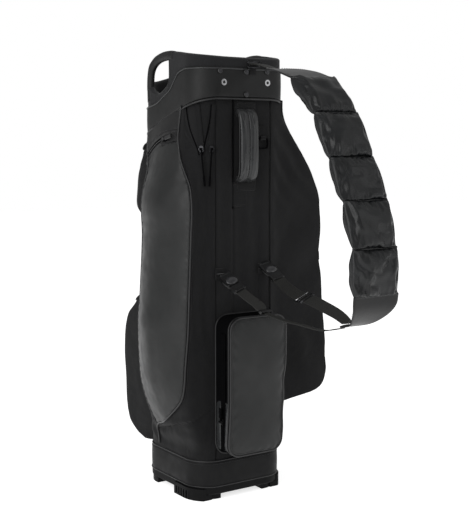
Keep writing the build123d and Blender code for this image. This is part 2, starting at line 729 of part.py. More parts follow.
# Hardware on the strap: the ring below the collar, the three-bar slide and the side-release buckle.
buckle_frame = Plane(origin=(-53, -152.4, 453.5), x_dir=(0.95, 0.07, 0.29), z_dir=(-0.2, -0.58, 0.79))
with BuildPart(Plane(origin=(26, -289, 437.2), x_dir=(1, 0, 0), z_dir=(0, -0.25, 0.97))) as web_slide:
    Box(28, 26, 2.6)
    with Locations((0, 6.6, 0), (0, -6.6, 0)):
        Box(22, 7, 4, mode=Mode.SUBTRACT)
with BuildPart() as strap_rings:
    with Locations((13, -128.5, 887)):
        Box(36, 2.6, 18)
        Box(28, 4, 9.4, mode=Mode.SUBTRACT)
    fillet(strap_rings.edges().filter_by(Axis.Y), 2)
    add(web_slide.part)
keep(strap_rings.part, "strap_rings")
with BuildPart(buckle_frame) as buckle_socket:
    with Locations((0, 12, 0)):
        Box(30, 34, 9)
    fillet(buckle_socket.edges().filter_by(lambda e: abs(e.length - 9) < 0.01), 5)
    with Locations((0, 6, 0)):
        Box(23.6, 30, 5, mode=Mode.SUBTRACT)
    with Locations((0, 7, 4)):
        Cylinder(5, 8, mode=Mode.SUBTRACT)
keep(buckle_socket.part, "buckle_socket")
with BuildPart(buckle_frame) as buckle_plug:
    with Locations((0, -15, 0)):
        Box(28, 18, 7)
    fillet(buckle_plug.edges().filter_by(lambda e: abs(e.length - 7) < 0.01), 4)
    with Locations((0, 4, 0)):
        Box(22.8, 24, 4.2)
keep(buckle_plug.part, "buckle_plug")
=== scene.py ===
import json
import math

import bmesh
import bpy
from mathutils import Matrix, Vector, noise

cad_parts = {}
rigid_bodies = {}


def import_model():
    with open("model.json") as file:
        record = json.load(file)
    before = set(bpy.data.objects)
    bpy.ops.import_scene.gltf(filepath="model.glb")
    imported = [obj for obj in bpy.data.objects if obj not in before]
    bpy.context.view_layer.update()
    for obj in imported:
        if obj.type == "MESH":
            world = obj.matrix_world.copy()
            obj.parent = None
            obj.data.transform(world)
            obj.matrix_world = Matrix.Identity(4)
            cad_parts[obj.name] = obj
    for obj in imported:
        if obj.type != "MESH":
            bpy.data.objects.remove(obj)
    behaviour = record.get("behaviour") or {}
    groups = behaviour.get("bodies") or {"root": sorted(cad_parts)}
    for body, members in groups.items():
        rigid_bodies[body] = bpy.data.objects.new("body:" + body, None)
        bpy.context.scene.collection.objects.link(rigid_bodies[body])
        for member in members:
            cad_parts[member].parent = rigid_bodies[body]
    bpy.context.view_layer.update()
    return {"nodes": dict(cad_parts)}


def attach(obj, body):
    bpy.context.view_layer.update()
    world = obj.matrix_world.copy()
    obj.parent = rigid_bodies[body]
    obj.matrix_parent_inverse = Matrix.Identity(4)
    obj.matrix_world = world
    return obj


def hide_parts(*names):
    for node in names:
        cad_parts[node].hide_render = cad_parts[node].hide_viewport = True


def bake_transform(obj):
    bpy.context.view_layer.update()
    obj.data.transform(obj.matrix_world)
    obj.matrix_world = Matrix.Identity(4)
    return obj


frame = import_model()


# Small tools.
def metres(point):
    return Vector(point) * 0.001


def mix(a, b, t):
    return a + (b - a) * t


def steps(a, b, count):
    # Values from a to b, in count equal steps.
    return [mix(a, b, k / count) for k in range(count + 1)]


def turn(count):
    # Angles once round, count of them.
    return [2 * math.pi * k / count for k in range(count)]


def ease(t):
    t = min(max(t, 0.0), 1.0)
    return t * t * (3 - 2 * t)


def bump(x, centre, width):
    return math.exp(-(((x - centre) / width) ** 2))


def wobble(point, size, seed=0.0):
    # Smooth noise, -1 to 1, with features about size mm across.
    p = Vector(point) / size
    return noise.noise(Vector((p.x + seed, p.y - seed, p.z + 2 * seed)))


def smoothThrough(knots, t):
    # Value at t of a smooth curve through (t, value...) knots, flat beyond its ends.
    if t <= knots[0][0]:
        return knots[0][1:]
    if t >= knots[-1][0]:
        return knots[-1][1:]
    i = max(k for k in range(len(knots) - 1) if knots[k][0] <= t)
    a, b, c, d = knots[max(i - 1, 0)], knots[i], knots[i + 1], knots[min(i + 2, len(knots) - 1)]
    h = c[0] - b[0]
    s = (t - b[0]) / h
    out = []
    for k in range(1, len(b)):
        mb = (c[k] - a[k]) / (c[0] - a[0]) * h if c[0] > a[0] else 0
        mc = (d[k] - b[k]) / (d[0] - b[0]) * h if d[0] > b[0] else 0
        out.append(
            (2 * s**3 - 3 * s**2 + 1) * b[k]
            + (s**3 - 2 * s**2 + s) * mb
            + (3 * s**2 - 2 * s**3) * c[k]
            + (s**3 - s**2) * mc
        )
    return tuple(out)


def resample(points, count, closed=False):
    # Evenly spaced points along a polyline.
    points = [Vector(p) for p in points]
    if closed:
        points.append(points[0])
    steps = [0.0]
    for a, b in zip(points, points[1:]):
        steps.append(steps[-1] + (b - a).length)
    made, i = [], 0
    for k in range(count):
        want = steps[-1] * k / (count if closed else count - 1)
        while i < len(points) - 2 and steps[i + 1] < want:
            i += 1
        span = steps[i + 1] - steps[i]
        made.append(points[i].lerp(points[i + 1], (want - steps[i]) / span if span else 0))
    return made


def curveThrough(points, perSpan=10):
    # Dense points on a smooth curve through the given ones.
    pts = [Vector(p) for p in points]
    ends = [pts[0] * 2 - pts[1]] + pts + [pts[-1] * 2 - pts[-2]]
    made = []
    for a, b, c, d in zip(ends, ends[1:], ends[2:], ends[3:]):
        for k in range(perSpan):
            t = k / perSpan
            made.append(
                0.5 * (2 * b + (c - a) * t + (2 * a - 5 * b + 4 * c - d) * t**2 + (3 * b - a - 3 * c + d) * t**3)
            )
    return made + [pts[-1]]


def newObject(name, verts, faces, material, body="bag", smooth=True):
    mesh = bpy.data.meshes.new(name)
    mesh.from_pydata([metres(v) for v in verts], [], faces)
    mesh.validate()
    obj = bpy.data.objects.new(name, mesh)
    bpy.context.scene.collection.objects.link(obj)
    tidy = bmesh.new()
    tidy.from_mesh(mesh)
    bmesh.ops.remove_doubles(tidy, verts=tidy.verts, dist=1e-6)
    bmesh.ops.recalc_face_normals(tidy, faces=tidy.faces)
    tidy.to_mesh(mesh)
    tidy.free()
    for polygon in mesh.polygons:
        polygon.use_smooth = smooth
    mesh.materials.append(material)
    if body:
        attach(obj, body)
    return obj


def gridFaces(rows, columns, wrapRows=False, wrapColumns=False, start=0):
    faces = []
    for i in range(rows if wrapRows else rows - 1):
        for j in range(columns if wrapColumns else columns - 1):
            a, b = i, (i + 1) % rows
            c, d = j, (j + 1) % columns
            faces.append([start + r * columns + q for r, q in ((a, c), (a, d), (b, d), (b, c))])
    return faces


def grid(name, rows, material, body="bag", wrapRows=False, wrapColumns=False, thick=0.0, subdiv=0, caps=False):
    # Mesh through rows of points; thick gives cloth its thickness, away from the outside.
    verts = [p for row in rows for p in row]
    faces = gridFaces(len(rows), len(rows[0]), wrapRows, wrapColumns)
    if caps:
        n = len(rows[0])
        faces += [list(range(n)), [len(verts) - n + k for k in reversed(range(n))]]
    obj = newObject(name, verts, faces, material, body)
    if thick:
        shell = obj.modifiers.new("cloth thickness", "SOLIDIFY")
        shell.thickness = thick * 0.001
        shell.offset = -1
        shell.use_rim = True
    if subdiv:
        finer = obj.modifiers.new("finer", "SUBSURF")
        finer.levels = finer.render_levels = subdiv
    return obj


def outwards(obj, centre=(0, 0, 450)):
    # Turns an open sheet's faces away from the bag's middle.
    mesh = obj.data
    middle = metres(centre)
    total = sum((p.center - Vector((middle.x, middle.y, p.center.z))).dot(p.normal) * p.area for p in mesh.polygons)
    if total < 0:
        mesh.flip_normals()
    return obj


def sheet(*shape, **options):
    # An open grid that faces away from the bag's middle.
    return outwards(grid(*shape, **options))


def sweptRows(points, section, up=(0, 0, 1)):
    # Rows for a section, as (across, away) pairs, carried along points; away leans to up.
    rows = []
    points = [Vector(p) for p in points]
    guide = up if callable(up) else (lambda i: Vector(up))
    for i, p in enumerate(points):
        ahead = (points[min(i + 1, len(points) - 1)] - points[max(i - 1, 0)]).normalized()
        away = guide(i)
        away = (away - ahead * away.dot(ahead)).normalized()
        across = ahead.cross(away).normalized()
        shape = section(i / (len(points) - 1)) if callable(section) else section
        rows.append([p + across * a + away * b for a, b in shape])
    return rows


def ringSection(rx, ry, count=12, power=2.0):
    made = []
    for k in range(count):
        t = 2 * math.pi * k / count
        c, s = math.cos(t), math.sin(t)
        made.append((rx * math.copysign(abs(c) ** (2 / power), c), ry * math.copysign(abs(s) ** (2 / power), s)))
    return made


def piping(name, points, radius, material, body="bag", up=(0, 0, 1), closed=False):
    rows = sweptRows(points, ringSection(radius, radius, 8), up)
    return grid(name, rows, material, body, wrapRows=closed, wrapColumns=True, caps=not closed)


def bar(name, points, section, away, material, body="bag"):
    return grid(name, sweptRows(points, section, away), material, body, wrapColumns=True, caps=True)


def stitches(name, points, normals, material, body="bag", pitch=4.2, length=2.9, radius=0.42):
    # A row of thread stitches along a path, half sunk into the cloth.
    points = [Vector(p) for p in points]
    total = sum((b - a).length for a, b in zip(points, points[1:]))
    count = max(2, int(total / pitch))
    even = resample(points, count * 2 + 1)
    away = resample(normals, count * 2 + 1) if len(normals) > 1 else [Vector(normals[0])] * (count * 2 + 1)
    verts, faces = [], []
    for k in range(count):
        p, q = even[2 * k], even[2 * k + 1]
        along = (q - p).normalized()
        out = away[2 * k].normalized()
        side = along.cross(out).normalized()
        base = len(verts)
        for s, fat, lift in ((-0.5, 0.3, -0.15), (-0.32, 1, 0.25), (0.32, 1, 0.25), (0.5, 0.3, -0.15)):
            centre = p + along * (length * s) + out * (radius * lift)
            for a, b in ((1, 0), (0, 1), (-1, 0), (0, -1)):
                verts.append(centre + side * (a * radius * fat) + out * (b * radius * fat))
        faces += gridFaces(4, 4, wrapColumns=True, start=base)
        faces += [[base + 3, base + 2, base + 1, base], [base + 12, base + 13, base + 14, base + 15]]
    return newObject(name, verts, faces, material, body)


# Materials.
def linear(hexColour):
    parts = [int(hexColour[i : i + 2], 16) / 255 for i in (1, 3, 5)]
    return [p / 12.92 if p <= 0.04045 else ((p + 0.055) / 1.055) ** 2.4 for p in parts] + [1.0]


def addNode(material, kind, settings=None, **links):
    # Adds a node, sets its properties and sockets, and links named sockets from other nodes' outputs.
    tree = material.node_tree
    node = tree.nodes.new(kind)
    for key, value in (settings or {}).items():
        if isinstance(key, str) and hasattr(node, key):
            setattr(node, key, value)
        else:
            node.inputs[key].default_value = value
    for key, source in links.items():
        name = int(key[1:]) if key[0] == "_" and key[1:].isdigit() else key.replace("_", " ")
        tree.links.new(source, node.inputs[name])
    return node


def startMaterial(name, base, roughness, extra=None):
    # A Principled material with the colour, roughness and the constants that the surface needs.
    material = bpy.data.materials.new(name)
    material.use_nodes = True
    shader = material.node_tree.nodes["Principled BSDF"]
    shader.inputs["Base Color"].default_value = linear(base)
    shader.inputs["Roughness"].default_value = roughness
    for key, value in (extra or {}).items():
        shader.inputs[key].default_value = value
    place = addNode(material, "ShaderNodeTexCoord")
    return material, shader, place.outputs["Object"]


def waveScale(pitch):
    # The wave texture repeats every 0.31416 / Scale metres; pitch is in mm.
    return 0.31416 / (pitch * 0.001)


def noiseNode(material, place, size, detail):
    # Noise with features about size mm across.
    return addNode(material, "ShaderNodeTexNoise", {"Scale": 1000 / size, "Detail": detail}, Vector=place)


def colourRamp(material, shader, source, dark, light, low=0.0, high=1.0):
    # Base colour from dark to light, as source goes from low to high.
    ramp = addNode(material, "ShaderNodeValToRGB", {}, Fac=source)
    for stop, position, colour in zip(ramp.color_ramp.elements, (low, high), (dark, light)):
        stop.position = position
        stop.color = linear(colour)
    material.node_tree.links.new(ramp.outputs["Color"], shader.inputs["Base Color"])


def tint(material, shader, place, dark, light, size):
    # Soft colour variation between two colours, size in mm.
    clouds = noiseNode(material, place, size, 3.0)
    colourRamp(material, shader, clouds.outputs["Fac"], dark, light, 0.25, 0.75)


def relief(material, shader, heights):
    # Stacks bumps: each is (height output, strength, depth in mm).
    last = None
    for height, strength, depth in heights:
        links = {"Height": height}
        if last:
            links["Normal"] = last.outputs["Normal"]
        last = addNode(material, "ShaderNodeBump", {"Strength": strength, "Distance": depth * 0.001}, **links)
    material.node_tree.links.new(last.outputs["Normal"], shader.inputs["Normal"])


coated = {"grain": 0.9, "pore": 2.4, "crease": 26.0}


def coatedCloth(name, dark, light, roughness, gloss=0.5):
    # Polyurethane-coated polyester, calendered: near black, with a soft broad sheen and a very fine grain.
    material, shader, place = startMaterial(name, dark, roughness, {"IOR": 1.45, "Specular IOR Level": gloss})
    tint(material, shader, place, dark, light, 60)
    fine = addNode(material, "ShaderNodeTexVoronoi", {"Scale": 1000 / coated["grain"]}, Vector=place)
    pores = noiseNode(material, place, coated["pore"], 4.0)
    soft = noiseNode(material, place, coated["crease"], 2.0)
    relief(
        material,
        shader,
        [(fine.outputs["Distance"], 0.25, 0.10), (pores.outputs["Fac"], 0.35, 0.12), (soft.outputs["Fac"], 0.3, 0.5)],
    )
    polish = addNode(
        material,
        "ShaderNodeMapRange",
        {"From Min": 0.3, "From Max": 0.7, "To Min": roughness - 0.06, "To Max": roughness + 0.08},
        Value=soft.outputs["Fac"],
    )
    material.node_tree.links.new(polish.outputs["Result"], shader.inputs["Roughness"])
    return material


def ribbedCloth(name, dark, light, pitch, axis="Z", sheen=0.12):
    # Polyester with a crosswise rib, woven. The real rib is under a millimetre, drawn coarser so that it shows.
    material, shader, place = startMaterial(name, dark, 0.85, {"IOR": 1.4, "Specular IOR Level": 0.25})
    shader.inputs["Sheen Weight"].default_value = sheen
    shader.inputs["Sheen Roughness"].default_value = 0.5
    ribs = addNode(
        material,
        "ShaderNodeTexWave",
        {"Scale": waveScale(pitch), "Distortion": 0.25, "Detail": 1.0, "bands_direction": axis},
        Vector=place,
    )
    clouds = addNode(
        material, "ShaderNodeTexNoise", {"Scale": 1000 / 38, "Detail": 5.0, "Roughness": 0.65}, Vector=place
    )
    yarn = noiseNode(material, place, 1.4, 2.0)
    both = addNode(
        material, "ShaderNodeMath", {"operation": "MULTIPLY"}, _0=ribs.outputs["Fac"], _1=clouds.outputs["Fac"]
    )
    spread = addNode(
        material, "ShaderNodeMapRange", {"From Min": 0.05, "From Max": 0.6}, Value=both.outputs["Value"]
    )
    colourRamp(material, shader, spread.outputs["Result"], dark, light)
    relief(
        material,
        shader,
        [(ribs.outputs["Fac"], 0.6, 0.35), (yarn.outputs["Fac"], 0.4, 0.25), (clouds.outputs["Fac"], 0.35, 2.0)],
    )
    return material


def wovenTape(name, dark, light, pitch=1.6):
    # Nylon webbing, woven in a tight herringbone: matt, with short diagonal ribs.
    material, shader, place = startMaterial(name, dark, 0.7, {"IOR": 1.5, "Specular IOR Level": 0.35})
    ribs = addNode(
        material,
        "ShaderNodeTexWave",
        {"Scale": waveScale(pitch), "bands_direction": "DIAGONAL", "Distortion": 0.6},
        Vector=place,
    )
    colourRamp(material, shader, ribs.outputs["Fac"], dark, light)
    fine = noiseNode(material, place, 1.1, 2.0)
    relief(material, shader, [(ribs.outputs["Fac"], 0.7, 0.4), (fine.outputs["Fac"], 0.4, 0.2)])
    return material


def moulded(name, base, light, roughness, grit=0.8, gloss=0.5):
    # Moulded ABS or acetal with a fine spark-eroded texture: even, slightly pebbled.
    material, shader, place = startMaterial(name, base, roughness, {"IOR": 1.5, "Specular IOR Level": gloss})
    tint(material, shader, place, base, light, 14)
    pebbles = noiseNode(material, place, grit, 3.0)
    relief(material, shader, [(pebbles.outputs["Fac"], 0.4, 0.12)])
    return material


def metal(name, base, roughness, brushed=0.0):
    # Plated zinc or drawn aluminium: a clean highlight with fine wear along it.
    material, shader, place = startMaterial(name, base, roughness, {"Metallic": 1.0})
    wear = noiseNode(material, place, 3.0, 6.0)
    gloss = addNode(
        material,
        "ShaderNodeMapRange",
        {"From Min": 0.3, "From Max": 0.7, "To Min": roughness * 0.75, "To Max": roughness * 1.4},
        Value=wear.outputs["Fac"],
    )
    material.node_tree.links.new(gloss.outputs["Result"], shader.inputs["Roughness"])
    relief(material, shader, [(wear.outputs["Fac"], 0.2 + brushed, 0.05)])
    return material


def embossedCloth(name, dark, light, roughness, cell=3.2):
    # Coated cloth embossed with a small basket weave, which breaks its sheen into short dashes.
    material, shader, place = startMaterial(name, dark, roughness, {"IOR": 1.48, "Specular IOR Level": 0.36})
    scale = waveScale(cell)
    across = addNode(material, "ShaderNodeTexWave", {"Scale": scale, "bands_direction": "X"}, Vector=place)
    along = addNode(material, "ShaderNodeTexWave", {"Scale": scale, "bands_direction": "Z"}, Vector=place)
    weave = addNode(
        material, "ShaderNodeMath", {"operation": "MAXIMUM"}, _0=across.outputs["Fac"], _1=along.outputs["Fac"]
    )
    tint(material, shader, place, dark, light, 30)
    soft = noiseNode(material, place, 18, 3.0)
    relief(material, shader, [(weave.outputs["Value"], 0.35, 0.25), (soft.outputs["Fac"], 0.5, 1.2)])
    return material


finish = {
    "face": coatedCloth("coatedPolyesterFace", "#161717", "#1e1f1f", 0.44, 0.38),
    "wrap": coatedCloth("coatedPolyesterWrap", "#121313", "#181818", 0.52, 0.3),
    "yoke": coatedCloth("coatedPolyesterYoke", "#121213", "#171717", 0.5, 0.3),
    "pipe": coatedCloth("coatedPolyesterPiping", "#121213", "#1a1a1b", 0.4),
    # A lighter copy of the coated cloth: painted highlight, on the lift handle's tubes, the collar's seam piping and
    # the spine pocket's lit side strips.
    "handle": coatedCloth("coatedPolyesterHandle", "#262728", "#303132", 0.3),
    "rib": ribbedCloth("ribbedPolyester", "#111112", "#1c1c1d", 2.3),
    "gusset": ribbedCloth("ribbedPolyesterGusset", "#0f0f10", "#1a1a1b", 2.3),
    "band": coatedCloth("coatedPolyesterBand", "#0b0b0c", "#111112", 0.55, 0.2),
    "stud": moulded("paintedStudCap", "#222223", "#2c2c2d", 0.38),
    # deep: ribbed cloth far darker than the body's, near black: painted shade, for folds, recesses and parts that lie
    # in shadow.
    "deep": ribbedCloth("ribbedPolyesterShade", "#050506", "#0a0a0b", 2.3, sheen=0.0),
    "rim": ribbedCloth("brushedPolyesterRim", "#18191a", "#262628", 1.8),
    "lining": ribbedCloth("plainLiningCloth", "#0b0b0c", "#131314", 2.0),
    "divider": ribbedCloth("fleeceDividerCover", "#151516", "#212122", 1.6, "X"),
    "strap": embossedCloth("embossedStrapCloth", "#0b0c0d", "#131517", 0.38),
    # A darker copy of the strap cloth, for the strap's lower leaf, which faces down: painted shade.
    "leaf": embossedCloth("embossedLeafCloth", "#070708", "#0d0e0f", 0.45),
    "web": wovenTape("nylonWebbing", "#161615", "#2a2a28"),
    "tape": wovenTape("zipTape", "#0a0a0b", "#151516", 1.1),
    "thread": moulded("bondedThread", "#1c1c1d", "#28282a", 0.6),
    "base": moulded("mouldedPolypropylene", "#080809", "#0d0d0e", 0.6, 0.8, 0.12),
    "teeth": moulded("mouldedZipTeeth", "#101011", "#1a1a1b", 0.35),
    "buckle": moulded("mouldedAcetal", "#0d0d0e", "#141415", 0.38, 0.8, 0.3),
    # Buckle buttons: acetal much lighter than the buckle's own: painted highlight.
    "gloss": moulded("polishedAcetal", "#2c2c2e", "#363638", 0.2),
    "pull": moulded("mouldedPullGrip", "#141415", "#1d1d1e", 0.45),
    "mat": moulded("foamMat", "#0c0c0d", "#141415", 0.9, 2.0),
    "dark": metal("blackenedZinc", "#3c3c3e", 0.34),
    "bright": metal("polishedZinc", "#a8a8aa", 0.25),
    "stay": metal("drawnAluminium", "#b9bbbd", 0.35, 0.2),
}
finish["deep"].node_tree.nodes["Principled BSDF"].inputs["Specular IOR Level"].default_value = 0.05
print("materials ready")

# Camera, light and floor.
view = {"place": (-1225.4, -1887.0, 728.0), "facing": (0.5584, 0.8219, -0.1125), "lens": 72.0}
camera = bpy.data.objects.new("camera", bpy.data.cameras.new("camera"))
camera.data.lens = view["lens"]
camera.data.sensor_width = 36.0
camera.location = metres(view["place"])
camera.rotation_euler = Vector(view["facing"]).to_track_quat("-Z", "Y").to_euler()
bpy.context.scene.collection.objects.link(camera)
bpy.context.scene.camera = camera
bpy.context.scene.view_settings.view_transform = "Standard"

light = {"sky": 0.5, "key": 37.0, "fill": 8.0, "floorGlow": 0.72}
world = bpy.data.worlds.new("studio")
bpy.context.scene.world = world
world.use_nodes = True
background = world.node_tree.nodes["Background"]
background.inputs["Color"].default_value = (1, 1, 1, 1)
rays = world.node_tree.nodes.new("ShaderNodeLightPath")
seen = world.node_tree.nodes.new("ShaderNodeMapRange")
seen.inputs["To Min"].default_value = light["sky"]
world.node_tree.links.new(rays.outputs["Is Camera Ray"], seen.inputs["Value"])
world.node_tree.links.new(seen.outputs["Result"], background.inputs["Strength"])


def seenRays(material):
    # 1 for rays from the camera and through gloss or glass, 0 for the light that falls on the object.
    rays = addNode(material, "ShaderNodeLightPath")
    shiny = addNode(
        material, "ShaderNodeMath", {"operation": "MAXIMUM"}, _0=rays.outputs["Is Glossy Ray"],
        _1=rays.outputs["Is Transmission Ray"]
    )
    return addNode(
        material, "ShaderNodeMath", {"operation": "MAXIMUM"}, _0=rays.outputs["Is Camera Ray"],
        _1=shiny.outputs["Value"]
    ).outputs["Value"]


def softLight(name, place, target, size, power):
    lamp = bpy.data.objects.new(name, bpy.data.lights.new(name, "AREA"))
    lamp.data.shape = "RECTANGLE"
    lamp.data.size, lamp.data.size_y = size
    lamp.data.energy = power
    lamp.location = Vector(place)
    lamp.rotation_euler = (Vector(target) - Vector(place)).to_track_quat("-Z", "Y").to_euler()
    bpy.context.scene.collection.objects.link(lamp)
    return lamp


softLight("keyLight", (-2.5, -1.0, 1.5), (0, 0, 0.5), (1.6, 2.4), light["key"])
softLight("fillLight", (1.2, -2.6, 1.6), (0, -0.2, 0.5), (1.4, 2.0), light["fill"])

floorMaterial, floorShader, floorPlace = startMaterial("paintedFloor", "#f6f6f6", 0.9, {"Specular IOR Level": 0.0})
tint(floorMaterial, floorShader, floorPlace, "#f5f5f5", "#f8f8f8", 900)
floorGlow = addNode(
    floorMaterial, "ShaderNodeMath", {"operation": "MULTIPLY", 1: light["floorGlow"]}, _0=seenRays(floorMaterial)
)
floorShader.inputs["Emission Color"].default_value = (1, 1, 1, 1)
floorMaterial.node_tree.links.new(floorGlow.outputs["Value"], floorShader.inputs["Emission Strength"])
floorMesh = bpy.data.meshes.new("floor")
floorMesh.from_pydata([(-9, -9, 0), (9, -9, 0), (9, 9, 0), (-9, 9, 0)], [], [(0, 1, 2, 3)])
floorMesh.materials.append(floorMaterial)
floor = bpy.data.objects.new("floor", floorMesh)
bpy.context.scene.collection.objects.link(floor)
print("camera, light and floor ready")


# Plan outlines.
body = {"a": 108, "b": 112, "r": 50}
collar = {"a": 112.5, "b": 121, "r": 54, "low": 822, "slope": 0.318}


def outlineAt(a, b, r, d):
    # Point and outward direction on a rounded outline, d mm round from the middle of the spine towards -X.
    straightX, straightY, corner = a - r, 2 * (b - r), r * math.pi / 2
    total = 4 * (straightX + corner) + 2 * straightY
    d %= total
    mirrorX = 1
    if d > total / 2:
        d, mirrorX = total - d, -1
    if d <= straightX:
        point, out = (-d, -b), (0, -1)
    elif d <= straightX + corner:
        t = (d - straightX) / r
        out = (-math.sin(t), -math.cos(t))
        point = (-(a - r) + r * out[0], -(b - r) + r * out[1])
    elif d <= straightX + corner + straightY:
        point, out = (-a, -(b - r) + d - straightX - corner), (-1, 0)
    elif d <= straightX + 2 * corner + straightY:
        t = (d - straightX - corner - straightY) / r
        out = (-math.cos(t), math.sin(t))
        point = (-(a - r) + r * out[0], (b - r) + r * out[1])
    else:
        point, out = (-(a - r) + d - straightX - 2 * corner - straightY, b), (0, 1)
    return Vector((mirrorX * point[0], point[1], 0)), Vector((mirrorX * out[0], out[1], 0))


def outlineLength(a, b, r):
    return 4 * (a - r) + 4 * (b - r) + 2 * math.pi * r


def planAt(plan, d):
    return outlineAt(plan["a"], plan["b"], plan["r"], d)


def planLength(plan):
    return outlineLength(plan["a"], plan["b"], plan["r"])


def bandEdge(y):
    return collar["low"] - collar["slope"] * (y + collar["b"])


seamKnots = [(-72, 882.5), (-45, 875), (-27, 858), (-12, 843), (10, 832), (46, 816), (150, 802)]


def seamHeight(y):
    return smoothThrough(seamKnots, y)[0]


def wallPoint(d, z, lift=0.0, plan=body):
    # Point on the body's wall.
    point, out = planAt(plan, d)
    return Vector((point.x + out.x * lift, point.y + out.y * lift, z))


# Body panels.
def spineDepth(x, z):
    # How far the spine's cloth stands out of its plane, with its sewn seams and soft upright folds.
    depth = -1.6 * bump(abs(x), 67.5, 2.2)
    depth -= 2.2 * bump(x, -25, 3.0)
    if z < 640:
        depth -= 0.8 * bump(x, 38, 2.5) * ease((600 - z) / 60)
    depth += 1.1 * math.sin(
        x * 0.145 + 1.8 * wobble((x, 0, z), 190, 3)
    ) * ease((790 - z) / 120) * ease((z - 380) / 60)
    depth += 0.9 * wobble((x, 0, z), 42, 1) + 0.5 * wobble((x, 0, z * 0.4), 13, 5)
    return depth - 0.4


spineRows = []
for x in steps(-67.5, 67.5, 59):
    spineRows.append([Vector((x, -112 - spineDepth(x, z), z)) for z in steps(29, 833, 150)])
spinePanel = sheet("spinePanel", spineRows, finish["rib"], thick=2)
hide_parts("spine_panel")

piping(
    "rightSpinePiping", [(68.6, -112.6 - 0.6 * wobble((0, 0, z), 60, 8), z) for z in range(84, 838, 18)], 1.6,
    finish["rib"], up=(0, -1, 0)
)
# A near-black tube along the spine's fold near x = -26: painted shade in the fold.
piping(
    "spineFoldLine", [(-26 + 0.8 * wobble((0, 2, z), 70, 8), -111.9, z) for z in range(600, 840, 12)], 1.2,
    finish["deep"], up=(0, -1, 0)
)
for side, sign in (("left", 1), ("right", -1)):
    rows = []
    for d in steps(68.5, 352, 69):
        top = bandEdge(wallPoint(d, 0).y) + 8
        rows.append([wallPoint(sign * d, z, 0.6 * wobble((d, 0, z), 40, 2) - 0.9) for z in steps(29, top, 99)])
    sheet(f"{side}Wall", rows, finish["rib"], thick=2)
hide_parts("side_panels")
frontRows = [
    [Vector((x, 112 - 0.9 + 0.6 * wobble((x, 9, z), 40), z)) for z in steps(29, 752, 60)]
    for x in steps(-59, 59, 24)
]
frontPanel = sheet("frontPanel", frontRows, finish["rib"], thick=2)
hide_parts("front_panel")
print("body panels ready")

# Base.
base = {"a": 111, "b": 115, "r": 53}
baseProfile = [
    (27, -2.0), (28, -0.4), (30, 0.2), (40, 0.5), (54, 0.7), (68, 0.5), (77, 0.1), (80.5, -0.6), (82.2, -2.0),
    (82, -3.4)
]
rows = []
count = 260
length = planLength(base)
for i in range(count):
    d = length * i / count
    rows.append([wallPoint(d, z, lift + 0.35 * wobble((d, 0, z), 30), base) for z, lift in baseProfile])
baseBand = sheet("baseBand", rows, finish["band"], wrapRows=True, thick=2)
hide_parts("base_band")
ring = [wallPoint(length * i / 240, 82.4, -1.6, base) for i in range(240)]
piping("baseBandPiping", ring, 1.8, finish["pipe"], closed=True)
ring = [wallPoint(length * i / 240, 29.0, 0.2, base) for i in range(240)]
piping("baseLowerPiping", ring, 1.5, finish["pipe"], closed=True)
ring = [wallPoint(length * i / 400, 76.5, 0.45, base) for i in range(401)]
away = [planAt(base, length * i / 400)[1] for i in range(401)]
stitches("baseBandStitches", ring, away, finish["thread"])
print("base ready")

# Collar.
collarLength = planLength(collar)
bandProfile = [
    (0.0, -3.5), (0.012, -0.8), (0.04, 0.1), (0.2, 0.6), (0.5, 0.9), (0.8, 0.6), (0.95, 0.15), (0.985, -0.6),
    (1.0, -2.6)
]
rows, seamLine, edgeLine, away = [], [], [], []
count = 320
for i in range(count + 1):
    d = collarLength * i / count
    point, out = planAt(collar, d)
    low, high = bandEdge(point.y), seamHeight(point.y)
    away.append(out)
    seamLine.append(wallPoint(d, high - 4.2, 0.45, collar))
    edgeLine.append(wallPoint(d, low - 2.2, -0.9, collar))
    if i < count:
        rows.append([wallPoint(d, mix(low, high, f), lift + 0.3 * wobble((d, 0, high * f), 34, 4), collar)
                     for f, lift in bandProfile])
collarWrap = sheet("collarWrap", rows, finish["wrap"], wrapRows=True, thick=2, subdiv=1)
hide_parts("collar_band", "collar_piping")
# Piping in the lighter coated cloth along the collar seam: a painted highlight line.
piping("collarSeamPiping", seamLine[:-1], 1.5, finish["handle"], closed=True)
stitches("collarSeamStitches", seamLine, away, finish["thread"])
piping("collarEdgePiping", edgeLine[:-1], 2.3, finish["pipe"], closed=True)

rimPath = [
    (0, 902.5), (58, 903), (100, 905.5), (141, 910), (165, 913.5), (188, 916), (202, 916.5), (208.5, 912.5),
    (209, 903), (205, 892), (201.5, 880), (201.5, 870), (206, 859), (215, 850), (229, 842), (248, 835),
    (268, 841), (286, 852), (302, 859), (330, 862), (350, 865), (372, 871), (395, 879), (416, 884),
]
rimPlan = {"a": 111, "b": 119.5, "r": 52.5, "roll": 6.0}


def rimColumns():
    half = planLength(rimPlan) / 2
    dense = curveThrough([(d, z, 0) for d, z in rimPath], 8)
    top = resample(dense, 210)
    first = next(i for i, p in enumerate(top) if p.x > 188)
    last = next(i for i, p in enumerate(top) if p.x > 229)
    columns = []
    for i, p in enumerate(top):
        ahead = (top[min(i + 1, len(top) - 1)] - top[max(i - 1, 0)]).normalized()
        under = p.x if i <= first or i >= last else mix(top[first].x, top[last].x, (i - first) / (last - first))
        columns.append((p.x * half / 416.0, p.y, (-ahead.y, ahead.x), under * half / 416.0))
    return columns + [(2 * half - d, z, (-n[0], n[1]), 2 * half - u) for d, z, n, u in reversed(columns[1:-1])]


def rimPoint(d, z, inward):
    point, out = planAt(rimPlan, d)
    return Vector((point.x - out.x * inward, point.y - out.y * inward, z))


